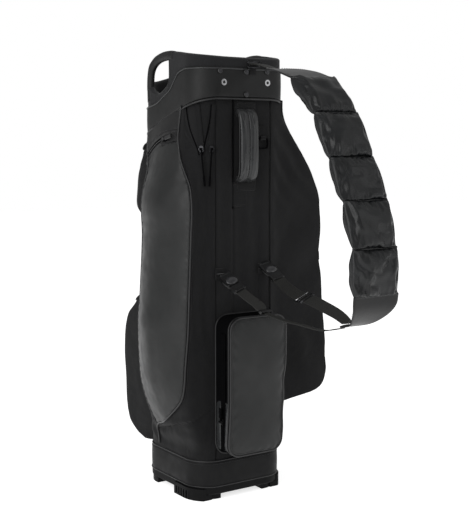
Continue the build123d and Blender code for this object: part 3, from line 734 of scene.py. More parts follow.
rows = []
for d, z, n, under in rimColumns():
    roll = rimPlan["roll"]
    out = planAt(rimPlan, d)[1]
    wide = 13 + 4 * abs(out.y)
    startD, startZ = d - n[0] * roll, z - n[1] * roll
    low = seamHeight(rimPoint(under, 0, 0).y) - 3
    row = [rimPoint(under, low, 2.6)]
    for f in (0.02, 0.3, 0.65, 0.95):
        sway = 0.5 * wobble((under, 0, z * f), 25, 6)
        row.append(rimPoint(mix(under, startD, f), mix(low, startZ, f), 0.2 - sway))
    for k in range(9):
        t = math.pi * k / 8
        row.append(
            rimPoint(
                d - n[0] * roll * (1 - math.sin(t)), z - n[1] * roll * (1 - math.sin(t)), wide / 2 * (1 - math.cos(t))
            )
        )
    for f in (0.95, 0.6, 0.2, 0.0):
        row.append(rimPoint(mix(under, startD, f), mix(780, startZ, f), wide))
    rows.append(row)
collarRim = grid("collarRim", rows, finish["rim"], wrapRows=True, subdiv=1)
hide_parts("collar")
inner = []
for i in range(200):
    d = outlineLength(98, 103.5, 40) * i / 200
    inner.append(
        [wallPoint(d, z, lift, {"a": 98, "b": 103.5, "r": 40}) for z, lift in ((782, 0.4), (770, 2.0), (740, 3.0))]
    )
grid("collarSkirt", inner, finish["lining"], wrapRows=True, thick=1)

# Rim handles: padded tubes from the rim's peak down to the front corners.
barPath = [
    (188, 906.5), (202, 908.5), (222, 908.5), (244, 905.5), (263, 899), (279, 887), (289, 870), (292, 852),
    (291, 835), (289, 818)
]
barStart = curveThrough([(d, z, 0) for d, z in barPath], 8)
for side, sign in (("left", 1), ("right", -1)):
    route = []
    for p in barStart:
        point, out = planAt(rimPlan, sign * p.x)
        route.append(Vector((point.x - out.x * 5.5, point.y - out.y * 5.5, p.y)))
    outs = [planAt(rimPlan, sign * p.x)[1] for p in barStart]
    tube = sweptRows(
        route,
        lambda t: ringSection(10 - 0.8 * math.sin(math.pi * t), 7.4, 20, 2.3),
        lambda i: outs[i],
    )
    for i, row in enumerate(tube):
        for k, p in enumerate(row):
            p += outs[i] * (0.35 * wobble(p, 16, 3))
    handle = grid(f"{side}RimHandle", tube, finish["wrap"], wrapColumns=True, caps=True)
    if side == "left":
        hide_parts("rim_handles")
    seam = [q + out * 7.5 for q, out in zip(route, outs)]
    stitches(f"{side}RimHandleStitches", seam[8:-10], outs[8:-10], finish["thread"], pitch=4.0)
print("collar ready")

# Sewn shells: plan sections at several heights, as (height, x, y, x, y, ...).
def skin(sections, spots):
    # Gives a function from (q round the shell, height, lift) to a point; lift is along the outward normal.

    def plain(q, z):
        row = smoothThrough(sections, z)
        x, y = smoothThrough([(s, row[2 * i], row[2 * i + 1]) for i, s in enumerate(spots)], q)
        return Vector((x, y, z))

    def at(q, z, lift=0.0):
        p = plain(q, z)
        if lift == 0:
            return p
        across = plain(min(q + 0.006, 1), z) - plain(max(q - 0.006, 0), z)
        out = (plain(q, z + 2) - plain(q, z - 2)).cross(across).normalized()
        if out.x * p.x + out.y * p.y < 0:
            out = -out
        return p + out * lift

    return at


def valueAlong(knots, t):
    return smoothThrough(knots, t)[0]


def outOf(surface, q, z):
    return (surface(q, z, 1.0) - surface(q, z)).normalized()


def surfacePiping(name, surface, places, radius, lift, material=None, body="bag"):
    # Piping along (q, z) places on a shell, with its piped edge just sunk in.
    dense = curveThrough([(q * 400, z, 0) for q, z in places], 8)
    points = resample([surface(p.x / 400, p.y, lift) for p in dense], max(12, len(dense)))
    return piping(name, points, radius, material or finish["pipe"], body, up=(0.35, -0.25, 0.9))


def surfaceStitches(name, surface, places, lift, body="bag"):
    dense = curveThrough([(q * 400, z, 0) for q, z in places], 8)
    points = [surface(p.x / 400, p.y, lift) for p in dense]
    away = [outOf(surface, p.x / 400, p.y) for p in dense]
    return stitches(name, points, away, finish["thread"], body)


# Left full-length pocket.
leftSpots = [0, 0.11, 0.25, 0.42, 0.62, 0.82, 0.93, 1.0]
leftSections = [
    (84, -70, -112.4, -90, -103.5, -104, -83, -109, -50, -109, 0, -109, 60, -100, 90, -80, 107),
    (112, -69, -112.9, -88, -108, -105, -93, -111, -50, -111.5, 0, -110, 60, -104, 88, -79, 108),
    (140, -69, -113, -91, -108.5, -112, -98, -120, -50, -122, 0, -113, 60, -105, 88, -79, 108.5),
    (165, -69, -113, -93, -108.5, -118, -98, -131, -50, -135, 0, -122, 60, -107, 90, -79, 108.5),
    (205, -69, -113, -97, -108.5, -128, -98, -144, -50, -149, 0, -136, 60, -110, 95, -79, 108.5),
    (249, -69, -113, -100, -108.5, -134, -98, -154, -50, -161, 0, -145, 60, -112, 97, -79, 108.5),
    (355, -69, -113, -98, -108.5, -128, -100, -160, -50, -170, 0, -149, 60, -113, 97, -79, 108.5),
    (409, -69, -113, -97, -108.5, -126, -100, -154, -50, -165, 0, -145, 60, -112, 97, -79, 108.5),
    (540, -69, -113, -94, -108.5, -121, -100, -145, -50, -154, 0, -137, 60, -110, 97, -79, 108.5),
    (616, -69, -113, -93, -108.5, -118, -100, -146, -50, -155, 0, -138, 60, -110, 97, -79, 108.5),
    (690, -69, -112.8, -89, -103.5, -112, -76, -125, -54, -131, 0, -117, 60, -107, 92, -79, 108.5),
    (745, -69, -112.4, -88, -103.3, -110, -71, -117, -53, -120, 0, -112, 60, -105, 92, -79, 108.5),
    (830, -69, -112.2, -88, -103, -109, -66, -110.5, -52, -111, 0, -109.5, 60, -102, 90, -79, 108.5),
]
leftSkin = skin(leftSections, leftSpots)
leftFace = {
    "near": [
        (137, 0.762), (143, 0.70), (156, 0.57), (178, 0.43), (211, 0.302), (244, 0.258), (290, 0.252),
        (330, 0.25), (640, 0.252), (674, 0.288), (708, 0.375), (737, 0.423),
    ],
    "far": [(137, 0.775), (155, 0.81), (190, 0.825), (250, 0.83), (640, 0.84), (737, 0.90)],
    "top": [(0.42, 737), (0.6, 732), (0.72, 723), (0.84, 706), (0.93, 684)],
    "bandTop": [(0.42, 760), (0.6, 754), (0.72, 744), (0.84, 729), (0.95, 707)],
    "proud": 1.7,
}
leftRound = 420  # length round the left pocket, which turns its q into mm
tipFoldPath = [(0.77, 130), (0.62, 138), (0.48, 149), (0.36, 160), (0.25, 170), (0.14, 181), (0.05, 193)]
tipFold = curveThrough([(q * leftRound, z, 0) for q, z in tipFoldPath], 6)


def faceTop(q):
    return valueAlong(leftFace["top"], q)


def bandTop(q):
    return valueAlong(leftFace["bandTop"], q)


def tipFoldHeight(q, z):
    # Long crease of the gusset from the face's tip towards the spine: a soft ridge above a sharp valley.
    if z > 235:
        return 0.0
    nearest = min(tipFold, key=lambda p: (p.x - q * leftRound) ** 2 + (p.y - z) ** 2)
    off = math.hypot(nearest.x - q * leftRound, nearest.y - z) * (1 if z > nearest.y else -1)
    ridge = 3.2 * bump(off, 5, 5.5) - 3.4 * bump(off, -5, 5)
    return ridge * (0.35 + 0.65 * ease(q / 0.4)) * ease((0.86 - q) / 0.08)


def leftGussetLift(q, z, p):
    # Folds of the ribbed gusset: gathers under the face's tip, the pleated vent at the top, long soft folds between.
    lift = 0.9 * wobble((p.y * 1.3, p.x, z * 0.45), 34, 1) + 0.5 * wobble((p.y, p.x, z), 15, 4)
    low = ease((250 - z) / 90) * ease((z - 84) / 20)
    sweep = z - 150 - 70 * (0.5 - q) ** 2 * 4 + 22 * wobble((q * 200, 0, z), 60, 2)
    lift += 1.0 * low * math.sin(sweep * 0.135) * ease(q / 0.1) + tipFoldHeight(q, z)
    if q < 0.27:  # the vent between its two zips folds inwards
        inside = ease((z - 700) / 30) * ease((812 - z) / 12)
        middle = mix(0.13, 0.125, (z - 700) / 112)
        half = mix(0.012, 0.095, ease((z - 705) / 100))
        lift -= 3.2 * inside * bump(q, middle, half) - 0.9 * inside * math.cos((q - middle) / max(half, 0.01) * 5)
        lift += 1.3 * ease((700 - z) / 50) * ease((z - 300) / 90) * math.sin(q * 60 + 2.2 * wobble((0, 0, z), 130, 6))
    return lift


rows = []
for i in range(150):
    q = i / 149
    top = bandEdge(leftSkin(q, 800).y) + 3
    row = []
    for z in steps(82.5, top, 189):
        p = leftSkin(q, z)
        edge = ease(q / 0.03) * ease((1 - q) / 0.05) * ease((z - 82) / 10)
        row.append(leftSkin(q, z, -0.7 + edge * leftGussetLift(q, z, p)))
    rows.append(row)
leftShell = sheet("leftPocketGusset", rows, finish["gusset"], thick=1.6)
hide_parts("left_pocket_gusset")


def leftFacePoint(u, v, lift):
    level = mix(137, 737, v)
    q = mix(valueAlong(leftFace["near"], level), valueAlong(leftFace["far"], level), u)
    z = level + ease((level - 650) / 87) * (faceTop(q) - 737)
    return leftSkin(q, z, lift), q, z


rows = []
for u in steps(0, 1, 90):
    row = []
    for v in steps(0, 1, 170):
        p, q, z = leftFacePoint(u, v, 0)
        level = mix(137, 737, v)
        wide = max(8.0, (valueAlong(leftFace["far"], level) - valueAlong(leftFace["near"], level)) * leftRound)
        edge = min(u, 1 - u) * wide
        lift = leftFace["proud"] - 2.2 * math.exp(-edge / 3.0)
        pucker = math.exp(-((edge - 6) / 8) ** 2)
        lift += 0.5 * pucker * math.sin(z * 0.42 + 2.5 * wobble(p, 55, 8))
        lift += 0.9 * wobble((p.y, p.x, z * 0.35), 48, 3) + 0.25 * wobble(p, 14, 9)
        lift += 1.2 * bump(q, 0.5, 0.06) * math.sin(z * 0.012 + 1)
        lift -= 1.4 * bump(z, 660, 10) * bump(u, 0.1, 0.25) + 1.1 * bump(z, 620, 14) * bump(u, 0.05, 0.2)
        row.append(leftFacePoint(u, v, lift)[0])
    rows.append(row)
leftFacePiece = sheet("leftPocketFace", rows, finish["face"], thick=1.4)
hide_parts("left_pocket_face")

nearLine = [
    (valueAlong(leftFace["near"], z) - 0.006, z)
    for z in (140, 147, 158, 178, 200, 222, 250, 290, 340, 440, 540, 620, 650, 680, 708, 737)
]
pipeTop = [(0.421, 760), (0.408, 785), (0.392, 806)]
surfacePiping("leftFacePiping", leftSkin, [(0.764, 92), (0.768, 112), (0.774, 128)] + nearLine + pipeTop, 2.1, 1.2)
farLine = [(valueAlong(leftFace["far"], z) + 0.005, z) for z in (142, 155, 190, 250, 340, 440, 540, 640, 690)]
surfacePiping("leftFarPiping", leftSkin, [(0.784, 130)] + farLine + [(0.9, 712)], 2.0, 1.0)
surfaceStitches("leftFaceStitches", leftSkin, [(q + 0.014, z) for q, z in nearLine[3:]], 1.6)
surfaceStitches(
    "leftGussetStitches", leftSkin, [(q - 0.018, z) for q, z in nearLine[4:]] + [(q - 0.02, z) for q, z in pipeTop],
    0.3
)

# Near-black tubes along the vent's two folds: painted shade in the folds.
for label, line in (
    ("leftVentFold", [(0.245, 806), (0.235, 785), (0.215, 760), (0.188, 738), (0.165, 722), (0.15, 708)]),
    ("leftVentBackFold", [(0.04, 808), (0.05, 785), (0.075, 760), (0.1, 738), (0.118, 720), (0.13, 706)]),
):
    surfacePiping(label, leftSkin, line, 1.2, -0.1, finish["deep"])
# Yoke above the pocket's opening, and the hooded zip between.
rows = []
for i in range(61):
    q = mix(0.415, 0.97, i / 60)
    low, high = bandTop(q), bandEdge(leftSkin(q, 800).y) - 1
    row = []
    for k in range(25):
        z = mix(low, high, k / 24)
        edge = min(k / 24, 0.4) * (high - low)
        lift = 1.9 - 1.9 * math.exp(-edge / 2.5) + 0.7 * wobble((q * 300, 0, z), 26, 5) * min(1, edge / 6)
        shift = (valueAlong([(760, 0.0), (785, -0.013), (806, -0.029)], z)) * (1 - i / 60)
        row.append(leftSkin(q + shift, z, lift))
    rows.append(row)
sheet("leftPocketYoke", rows, finish["yoke"], thick=1.4)
band = []
for q in steps(0.42, 0.955, 80):
    low, high = faceTop(q), bandTop(q)
    profile = [(-0.12, -0.6), (0.0, 1.2), (0.1, 2.3), (0.2, 1.3), (0.26, -0.4), (0.6, -0.8), (0.74, 0.4), (0.82, 2.4),
               (0.94, 2.6), (1.06, 1.4), (1.12, -0.4)]
    band.append(
        [leftSkin(q, mix(low, high, f), lift + 0.5 * wobble((q * 400, 0, f * 20), 12, 7)) for f, lift in profile]
    )
sheet("leftPocketZipBand", band, finish["yoke"], thick=1.0, subdiv=1)
for n, f in enumerate((0.3, 0.64)):
    line = [(q, mix(faceTop(q), bandTop(q), f)) for q in (0.43, 0.5, 0.6, 0.7, 0.8, 0.9, 0.94)]
    surfacePiping(f"leftZipShade{n + 1}", leftSkin, line, 2.0, -0.9, finish["deep"])
toothLine = resample([leftSkin(q, mix(faceTop(q), bandTop(q), 0.43), 0.2) for q in steps(0.43, 0.94, 60)], 90)
stitches(
    "leftZipTeeth", toothLine, [leftSkin(0.62, 735, 1) - leftSkin(0.62, 735, 0)], finish["stud"], pitch=1.7,
    length=0.9, radius=1.5
)
surfaceStitches("leftYokeStitches", leftSkin, [(q, bandTop(q) + 3) for q in (0.43, 0.5, 0.6, 0.7, 0.8, 0.9)], 2.2)
surfaceStitches("leftTopStitches", leftSkin, [(q, faceTop(q) - 4) for q in (0.44, 0.5, 0.6, 0.7, 0.8, 0.88)], 1.9)
print("left pocket ready")

# Right full-length pocket: a deep flat-sided pocket in ribbed cloth.
def rightRow(z, flank, outer):
    corner = (outer - flank) * 0.45
    return (
        z, 69, -112.9, 100, -105.5, flank, -102, flank + corner + 2, -99, outer, -84, outer + 1.5, -10,
        outer, 62, mix(flank, outer, 0.55), 88, flank, 99, 92, 107, 79, 108.5,
    )


rightSpots = [0, 0.09, 0.32, 0.36, 0.41, 0.6, 0.78, 0.84, 0.87, 0.96, 1.0]
rightSections = [rightRow(*r) for r in (
    (181, 108.5, 109.5), (184, 124, 128), (188, 158, 165), (194, 190, 199), (202, 208, 217), (213, 217.5, 228),
    (235, 225, 235), (262, 222.5, 232.5),
    (303, 219.5, 229.5), (400, 210.5, 221), (480, 203.5, 213.5), (600, 202.5, 212.5), (632, 197, 207),
    (664, 181, 190), (696, 161.5, 171),
    (738, 132.5, 141), (769, 114, 121.5), (800, 104, 112), (830, 100, 109))]
rightSkin = skin(rightSections, rightSpots)


def rightLift(z, p):
    lift = 0.9 * wobble((p.x * 0.8, p.y, z * 0.5), 36, 11) + 0.4 * wobble((p.x, p.y, z), 14, 12)
    slope = z + 1.15 * (p.x - 70)
    lift += 1.5 * math.sin(slope * 0.11 + 2 * wobble(p, 80, 3)) * bump(z, 700, 90) * ease((p.x - 72) / 20)
    lift += 2.0 * math.sin((z - 0.7 * p.x) * 0.05 + wobble(p, 90, 5)) * bump(z, 520, 110) * ease((p.x - 80) / 40)
    lift += 1.6 * math.sin((p.x + 0.4 * z) * 0.075 + 2 * wobble(p, 60, 7)) * bump(z, 285, 80)
    return lift


rows = []
for i in range(170):
    q = i / 169
    top = bandEdge(rightSkin(q, 800).y) + 3
    row = []
    for z in steps(181, top, 169):
        p = rightSkin(q, z)
        edge = ease(q / 0.04) * ease((1 - q) / 0.05)
        row.append(
            rightSkin(
                q, z,
                -0.7 + edge * rightLift(z, p) - 3.0 * bump(q, 0.458, 0.03) * ease((z - 290) / 10) * ease((490 - z) / 10)
            )
        )
    rows.append(row)
rightShell = sheet("rightPocketGusset", rows, finish["gusset"], thick=1.6)
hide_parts("right_pocket_gusset")
under = [
    [rightSkin(q, 181.5, -1), Vector((mix(108.3, 100, abs(q - 0.5) * 2), rightSkin(q, 181).y * 0.985, 180.5))]
    for q in [i / 80 for i in range(81)]
]
grid("rightPocketUnderside", under, finish["gusset"], thick=1.0)

rightFace = {"q": (0.425, 0.775), "z": (232, 716), "round": 0.22}
rows = []
for i in range(61):
    a = -1 + 2 * i / 60
    row = []
    for k in range(121):
        b = -1 + 2 * k / 120
        high = rightFace["z"][1] - 10 * (1 - a)
        inA = a * (1 - 0.14 * ease((abs(b) - 0.82) / 0.18) ** 2)
        q, z = mix(*rightFace["q"], (inA + 1) / 2), mix(rightFace["z"][0], high, (b + 1) / 2)
        edge = min((1 - abs(a)) * 75, (1 - abs(b)) * 240)
        lift = 2.2 - 2.4 * math.exp(-edge / 3.5) + 0.9 * wobble((0, q * 200, z * 0.4), 40, 14)
        lift -= 4.2 * bump(q, 0.458, 0.052) * ease((z - 276) / 12) * ease((500 - z) / 12)
        row.append(rightSkin(q, z, lift))
    rows.append(row)
rightFacePiece = sheet("rightPocketFace", rows, finish["wrap"], thick=1.4)
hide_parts("right_pocket_face")
q0, q1 = rightFace["q"]
loop = [(q0, 700), (q0, 460), (q0, 250), (q0 + 0.02, 230), (0.6, 229), (q1 - 0.02, 230), (q1, 250), (q1, 480),
    (q1, 695), (q1 - 0.02, 716),
        (0.6, 710), (q0 + 0.02, 706), (q0, 696)]
surfacePiping("rightFacePiping", rightSkin, loop, 2.0, 1.0)
surfaceStitches("rightFaceStitches", rightSkin, [(q0 + 0.014, z) for z in (250, 350, 450, 550, 690)], 2.0)
print("right pocket ready")


# Pockets on the front: crowned pouches with a hooded zip across the top.
def pouch(name, label, sections, face, zipAt, crown):
    rows = []
    for z, half, depth in sections:
        near = max(112.8, depth - 16)
        root = half - 8
        back = 61.5 + math.sqrt(2500 - (root - 58) ** 2)
        rows.append((z, -root, back, -half - 0.8, near, -half + 3, max(113.5, depth - 5), -half + 15,
            max(114, depth - 0.4),
                     0, max(114.5, depth + crown), half - 15, max(114, depth - 0.4), half - 3, max(113.5, depth - 5),
                     half + 0.8, near, root, back))
    surface = skin(rows, [0, 0.14, 0.22, 0.28, 0.5, 0.72, 0.78, 0.86, 1.0])
    low, high = sections[0][0], sections[-1][0]
    made = []
    for i in range(121):
        q = i / 120
        row = [Vector((surface(q, low).x * 0.97, min(112.4, surface(q, low).y), low + 1))]
        for z in steps(low, high, 99):
            p = surface(q, z)
            lift = 0.8 * wobble((p.x, p.y, z * 0.7), 30, 21) + 0.4 * wobble(p, 13, 5) - 1.3 * bump(z, zipAt, 13)
            lift += 1.4 * bump(z, low + 30, 30) * math.sin(p.x * 0.09 + 2 * wobble(p, 60, 4))
            lift += 1.2 * (bump(q, 0.24, 0.03) + bump(q, 0.76, 0.03)) * math.sin(z * 0.17 + 3 * wobble(p, 50, 2))
            row.append(surface(q, z, lift * ease(min(q, 1 - q) / 0.06) - 0.5))
        made.append(row + [Vector((surface(q, high).x * 0.97, min(112.4, surface(q, high).y), high - 1))])
    shell = sheet(f"{name}Gusset", made, finish["gusset"], thick=1.5)
    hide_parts(f"{label}_gusset")
    made = []
    for i in range(81):
        a = -1 + 2 * i / 80
        row = []
        for k in range(81):
            b = -1 + 2 * k / 80
            inA = a * (1 - 0.12 * ease((abs(b) - 0.78) / 0.22) ** 2)
            q, z = 0.5 + 0.265 * inA, mix(face[0], face[1], (b + 1) / 2)
            p = surface(q, z)
            edge = min((1 - abs(a)) * 85, (1 - abs(b)) * (face[1] - face[0]) / 2)
            lift = 2.0 - 2.4 * math.exp(-edge / 4) + 0.9 * wobble((p.x, 0, z), 38, 31) + 0.3 * wobble(p, 13, 32)
            lift += 0.7 * math.exp(-(((edge - 7) / 6) ** 2)) * math.sin((p.x + z) * 0.33 + 3 * wobble(p, 40, 7))
            row.append(surface(q, z, lift))
        made.append(row)
    front = sheet(f"{name}Face", made, finish["face"], thick=1.4)
    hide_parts(f"{label}_face")
    mid = (face[0] + face[1]) / 2
    lowZ, highZ = face[0] - 1, face[1] + 1
    edges = [(0.235, mid), (0.235, lowZ + 26), (0.262, lowZ + 2), (0.32, lowZ), (0.5, lowZ), (0.68, lowZ),
        (0.738, lowZ + 2),
             (0.765, lowZ + 26), (0.765, mid), (0.765, highZ - 26), (0.738, highZ - 2), (0.68, highZ), (0.5, highZ),
             (0.32, highZ), (0.262, highZ - 2), (0.235, highZ - 26), (0.235, mid)]
    surfacePiping(f"{name}Piping", surface, edges, 2.0, 1.0)
    surfaceStitches(f"{name}Stitches", surface, [(q, highZ - 7) for q in (0.3, 0.4, 0.5, 0.6, 0.7)], 2.1)
    hood = []
    for q in steps(0.15, 0.85, 60):
        hood.append([surface(q, zipAt + up, lift + 0.3 * wobble((q * 300, 0, up), 14, 3))
                     for up, lift in ((11, 0.2), (12, 2.6), (15, 3.2), (20, 2.8), (25, 1.2), (27, -0.6))])
    sheet(f"{name}ZipHood", hood, finish["wrap"], thick=1.0, subdiv=1)


pouch(
    "frontPocket", "front_pocket",
    [
        (557, 83, 132), (563, 86, 147), (572, 87.5, 162), (590, 88, 181.5), (625, 88, 179.5), (681, 88, 168.5),
        (728, 87, 147), (744, 84, 135), (750, 81, 129)
    ],
    (584, 684), 705.6, 2.0,
)
pouch(
    "ballPocket", "ball_pocket",
    [
        (84, 104, 134), (90, 105.5, 153), (96, 106, 166), (107, 106.5, 181), (118, 107, 190), (150, 107, 202),
        (208, 107, 205.5), (273, 107, 210.5), (351, 106, 196.5), (399, 103, 149.5), (406, 100, 141), (410, 95, 132),
    ],
    (112, 348), 375.6, 2.5,
)
print("front pockets ready")

# Small pocket on the spine.
spinePocket = {"half": 68, "low": 99, "high": 384, "corner": 25, "count": 260, "crown": 7.5}


def spineLoop(i, grow):
    # Point i of the pocket's rounded outline, in X and Z, with its outward direction.
    half, tall = spinePocket["half"] + grow, (spinePocket["high"] - spinePocket["low"]) / 2 + grow
    corner = min(half, max(spinePocket["corner"] + grow, 0.6))
    point, out = outlineAt(half, tall, corner, outlineLength(half, tall, corner) * i / spinePocket["count"])
    return point.x, point.y + (spinePocket["low"] + spinePocket["high"]) / 2, out


def spineSag(x, y, z):
    # How the half-filled pocket leans: its right side pinches in, its lower corners sink.
    deep = ease((-y - 125) / 40)
    x -= (5.5 * bump(z, 246, 26) + 10.5 * ease((262 - z) / 110) - 3.0 * bump(z, 150, 26)) * deep * ease(x / 60)
    x -= 3.5 * deep * bump(z, 130, 40) * ease(-x / 60)
    z += 4.0 * deep * ease((140 - z) / 50)
    return Vector((x, y, z))


def spineRow(y, grow, folds=0.0):
    row = []
    for i in range(spinePocket["count"]):
        x, z, out = spineLoop(i, grow)
        w = folds * (wobble((x, y * 1.4, z), 22, 41) + 0.6 * math.sin(i * 0.55 + 3 * wobble((x, y, z), 50, 3)))
        row.append(spineSag(x + out.x * w, y, z + out.y * w))
    return row


spineGussetProfile = [
    (-112.3, 0.8, 0), (-114, 1.2, 0), (-118, 0.4, 0.3), (-126, -0.6, 0.8), (-134, -1.0, 1.1), (-142, -1.2, 1.2),
    (-150, -1.0, 1.1), (-157, -0.4, 0.7), (-162, 0.0, 0.3), (-165.5, -0.2, 0), (-167, -2, 0),
]
rows = [spineRow(y, grow, folds) for y, grow, folds in spineGussetProfile]
# The spine pocket's gusset is in the near-black cloth: painted shade on the pocket's recessed sides.
spineGusset = grid("spinePocketGusset", rows, finish["deep"], wrapColumns=True, thick=1.4)
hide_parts("spine_pocket_gusset")
rows = []
for grow in (-1.2, -2.0, -3.2, -5, -7.5, -10.5, -14, -18, -23, -29, -36, -44, -53, -61, -66, -68):
    row = []
    crown = spinePocket["crown"] * (1 - math.exp(grow / 20)) - 1.4 * math.exp(grow / 2.2)
    for i in range(spinePocket["count"]):
        x, z, out = spineLoop(i, grow)
        fold = 0.55 * math.exp(-(((grow + 8) / 6) ** 2)) * math.sin(i * 0.62 + 2.5 * wobble((x, 0, z), 45, 5))
        soft = wobble((x, 3, z), 46, 6) + 1.1 * math.sin((x * 0.5 + z) * 0.045 + 1.3)
        soft *= 1 - math.exp(grow / 9)
        row.append(spineSag(x, -167.3 - crown - fold - soft, z))
    rows.append(row)
spineFace = grid("spinePocketFace", rows, finish["face"], wrapColumns=True, thick=1.4)
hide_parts("spine_pocket_face")
for name, y, grow, radius in (
    ("spineFacePiping", -166.4, 0.2, 2.1), ("spineBackPiping", -160.2, 0.9, 1.8),
    ("spineSeamPiping", -114.6, 1.9, 1.6)
):
    piping(name, spineRow(y, grow), radius, finish["pipe"], up=(0, -1, 0.02), closed=True)
ring = spineRow(-169.2, -5.5)
stitches("spineFaceStitches", ring + [ring[0]], [(0, -1, 0)], finish["thread"], pitch=4.4)
# Two strips in the lighter coated cloth on the pocket's left side: painted highlight where it faces the lamps.
for name, spread in (
    ("spinePocketSideStrip", ((0, -148.5), (0.15, -149.5), (0.4, -152), (0.7, -156), (0.9, -159), (1, -161))),
    ("spinePocketBackStrip", ((0, -115), (0.15, -116.5), (0.4, -120), (0.7, -125), (0.9, -129), (1, -131))),
):
    strip = []
    for k in range(41):
        z = mix(112, 212, k / 40)
        row = []
        for f, y in spread:
            crown = 1.8 * math.sin(math.pi * f) * math.sin(math.pi * k / 40)
            row.append(spineSag(-68.4 - crown - 0.6 * wobble((f * 20, 0, z), 12, 4), y, z))
        strip.append(row)
    sheet(name, strip, finish["handle"], thick=1.0, subdiv=1)
print("spine pocket ready")

# Puffed pieces: a slack closed skin blown up by a short cloth simulation.
def inflate(obj, pinned, pressure=4.0, cap=14.0, frames=20, shrink=-0.05):
    # Blows a closed skin up; pinned vertices stay, and no point moves further than cap mm.
    rest = [v.co.copy() for v in obj.data.vertices]
    group = obj.vertex_groups.new(name="held")
    group.add(pinned, 1.0, "ADD")
    cloth = obj.modifiers.new("puff", "CLOTH")
    cloth.settings.quality = 7
    cloth.settings.mass = 0.25
    cloth.settings.tension_stiffness = cloth.settings.compression_stiffness = 18
    cloth.settings.bending_stiffness = 0.3
    cloth.settings.shrink_min = shrink
    cloth.settings.use_pressure = True
    cloth.settings.uniform_pressure_force = pressure
    cloth.settings.effector_weights.gravity = 0
    cloth.settings.vertex_group_mass = "held"
    cloth.collision_settings.use_collision = False
    cloth.point_cache.frame_start, cloth.point_cache.frame_end = 1, frames
    others = [o for o in bpy.context.scene.objects if o != obj and o.type == "MESH" and not o.hide_viewport]
    for other in others:
        other.hide_viewport = True
    for frameNumber in range(1, frames + 1):
        bpy.context.scene.frame_set(frameNumber)
    shape = obj.evaluated_get(bpy.context.evaluated_depsgraph_get())
    moved = [v.co.copy() for v in shape.data.vertices]
    obj.modifiers.remove(cloth)
    obj.vertex_groups.remove(group)
    for v, was, now in zip(obj.data.vertices, rest, moved):
        step = now - was
        far = cap * 0.001
        if step.length > far:
            step = step.normalized() * far
        v.co = was + step
    for other in others:
        other.hide_viewport = False
    bpy.context.scene.frame_set(1)
    obj.data.update()


def pillow(name, along, across, place, body, thick, puff, material, seed, shape=None):
    # Closed slack skin of two sheets; place(s, t, side) gives a point for s, t in 0..1 and side -1..1.
    verts, index = [], {}
    for side in (1, -1):
        for i in range(along + 1):
            for j in range(across + 1):
                rim = i in (0, along) or j in (0, across)
                if rim and side < 0:
                    index[side, i, j] = index[1, i, j]
                    continue
                s, t = i / along, j / across
                plump = 0.0 if rim else thick * (
                    shape(s, t, side) if shape else math.sqrt(math.sin(math.pi * s) * math.sin(math.pi * t))
                )
                plump += 0.35 * thick * wobble((s * 9, t * 9, side), 2.2, seed) * min(1, plump / thick)
                index[side, i, j] = len(verts)
                verts.append(place(s, t, side * plump))
    faces = []
    for side in (1, -1):
        for i in range(along):
            for j in range(across):
                quad = [index[side, i, j], index[side, i + 1, j], index[side, i + 1, j + 1], index[side, i, j + 1]]
                faces.append(quad if side > 0 else quad[::-1])
    obj = newObject(name, verts, faces, material, body)
    ends = {index[1, i, j] for i in (0, along) for j in range(across + 1)}
    held = [k for k in range(len(obj.data.vertices)) if k in ends]
    inflate(obj, held, *puff)
    finer = obj.modifiers.new("finer", "SUBSURF")
    finer.levels = finer.render_levels = 1
    return obj


# Lift handle.
handlePath = [
    (-115.6, 799), (-121, 795), (-128.5, 783), (-131, 760), (-131.2, 726), (-131, 692), (-128.5, 671), (-121, 659),
    (-115.6, 655)
]
dense = curveThrough([(0, y, z) for y, z in handlePath], 10)


handleTube = {"spacing": 10.8, "half": 10.7}


def handlePlace(offset):
    def place(s, t, lift):
        k = s * (len(dense) - 1)
        i = min(int(k), len(dense) - 2)
        p = dense[i].lerp(dense[i + 1], k - i)
        ahead = (dense[i + 1] - dense[i]).normalized()
        out = Vector((0, ahead.z, -ahead.y))
        return p + Vector((offset + (t - 0.5) * 2 * handleTube["half"], 0, 0)) + out * lift

    return place


# The tubes are in the lighter coated cloth: painted highlight along them.
for side, offset in (("left", -handleTube["spacing"]), ("right", handleTube["spacing"])):
    tube = pillow(
        f"{side}HandleTube", 74, 12, handlePlace(offset), "bag", 4.8, (5.0, 3.2), finish["handle"], 3 + offset
    )
    if side == "left":
        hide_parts("lift_handle")
for x in (-21.8, 21.8, 0):
    edge = [Vector((x, p.y - (1.2 if x == 0 else 0), p.z)) for p in dense[2:-2]]
    piping(
        f"handleBinding{'Left' if x < 0 else 'Right' if x > 0 else 'Middle'}", edge, 1.3 if x == 0 else 1.5,
        finish["pipe"], up=(1, 0, 0.01)
    )
for x in (-2.9, 2.9):
    line = [Vector((x, p.y - 2.6, p.z)) for p in dense[12:-12]]
    stitches(f"handleStitches{'Left' if x < 0 else 'Right'}", line, [(0, -1, 0)], finish["thread"], pitch=4)


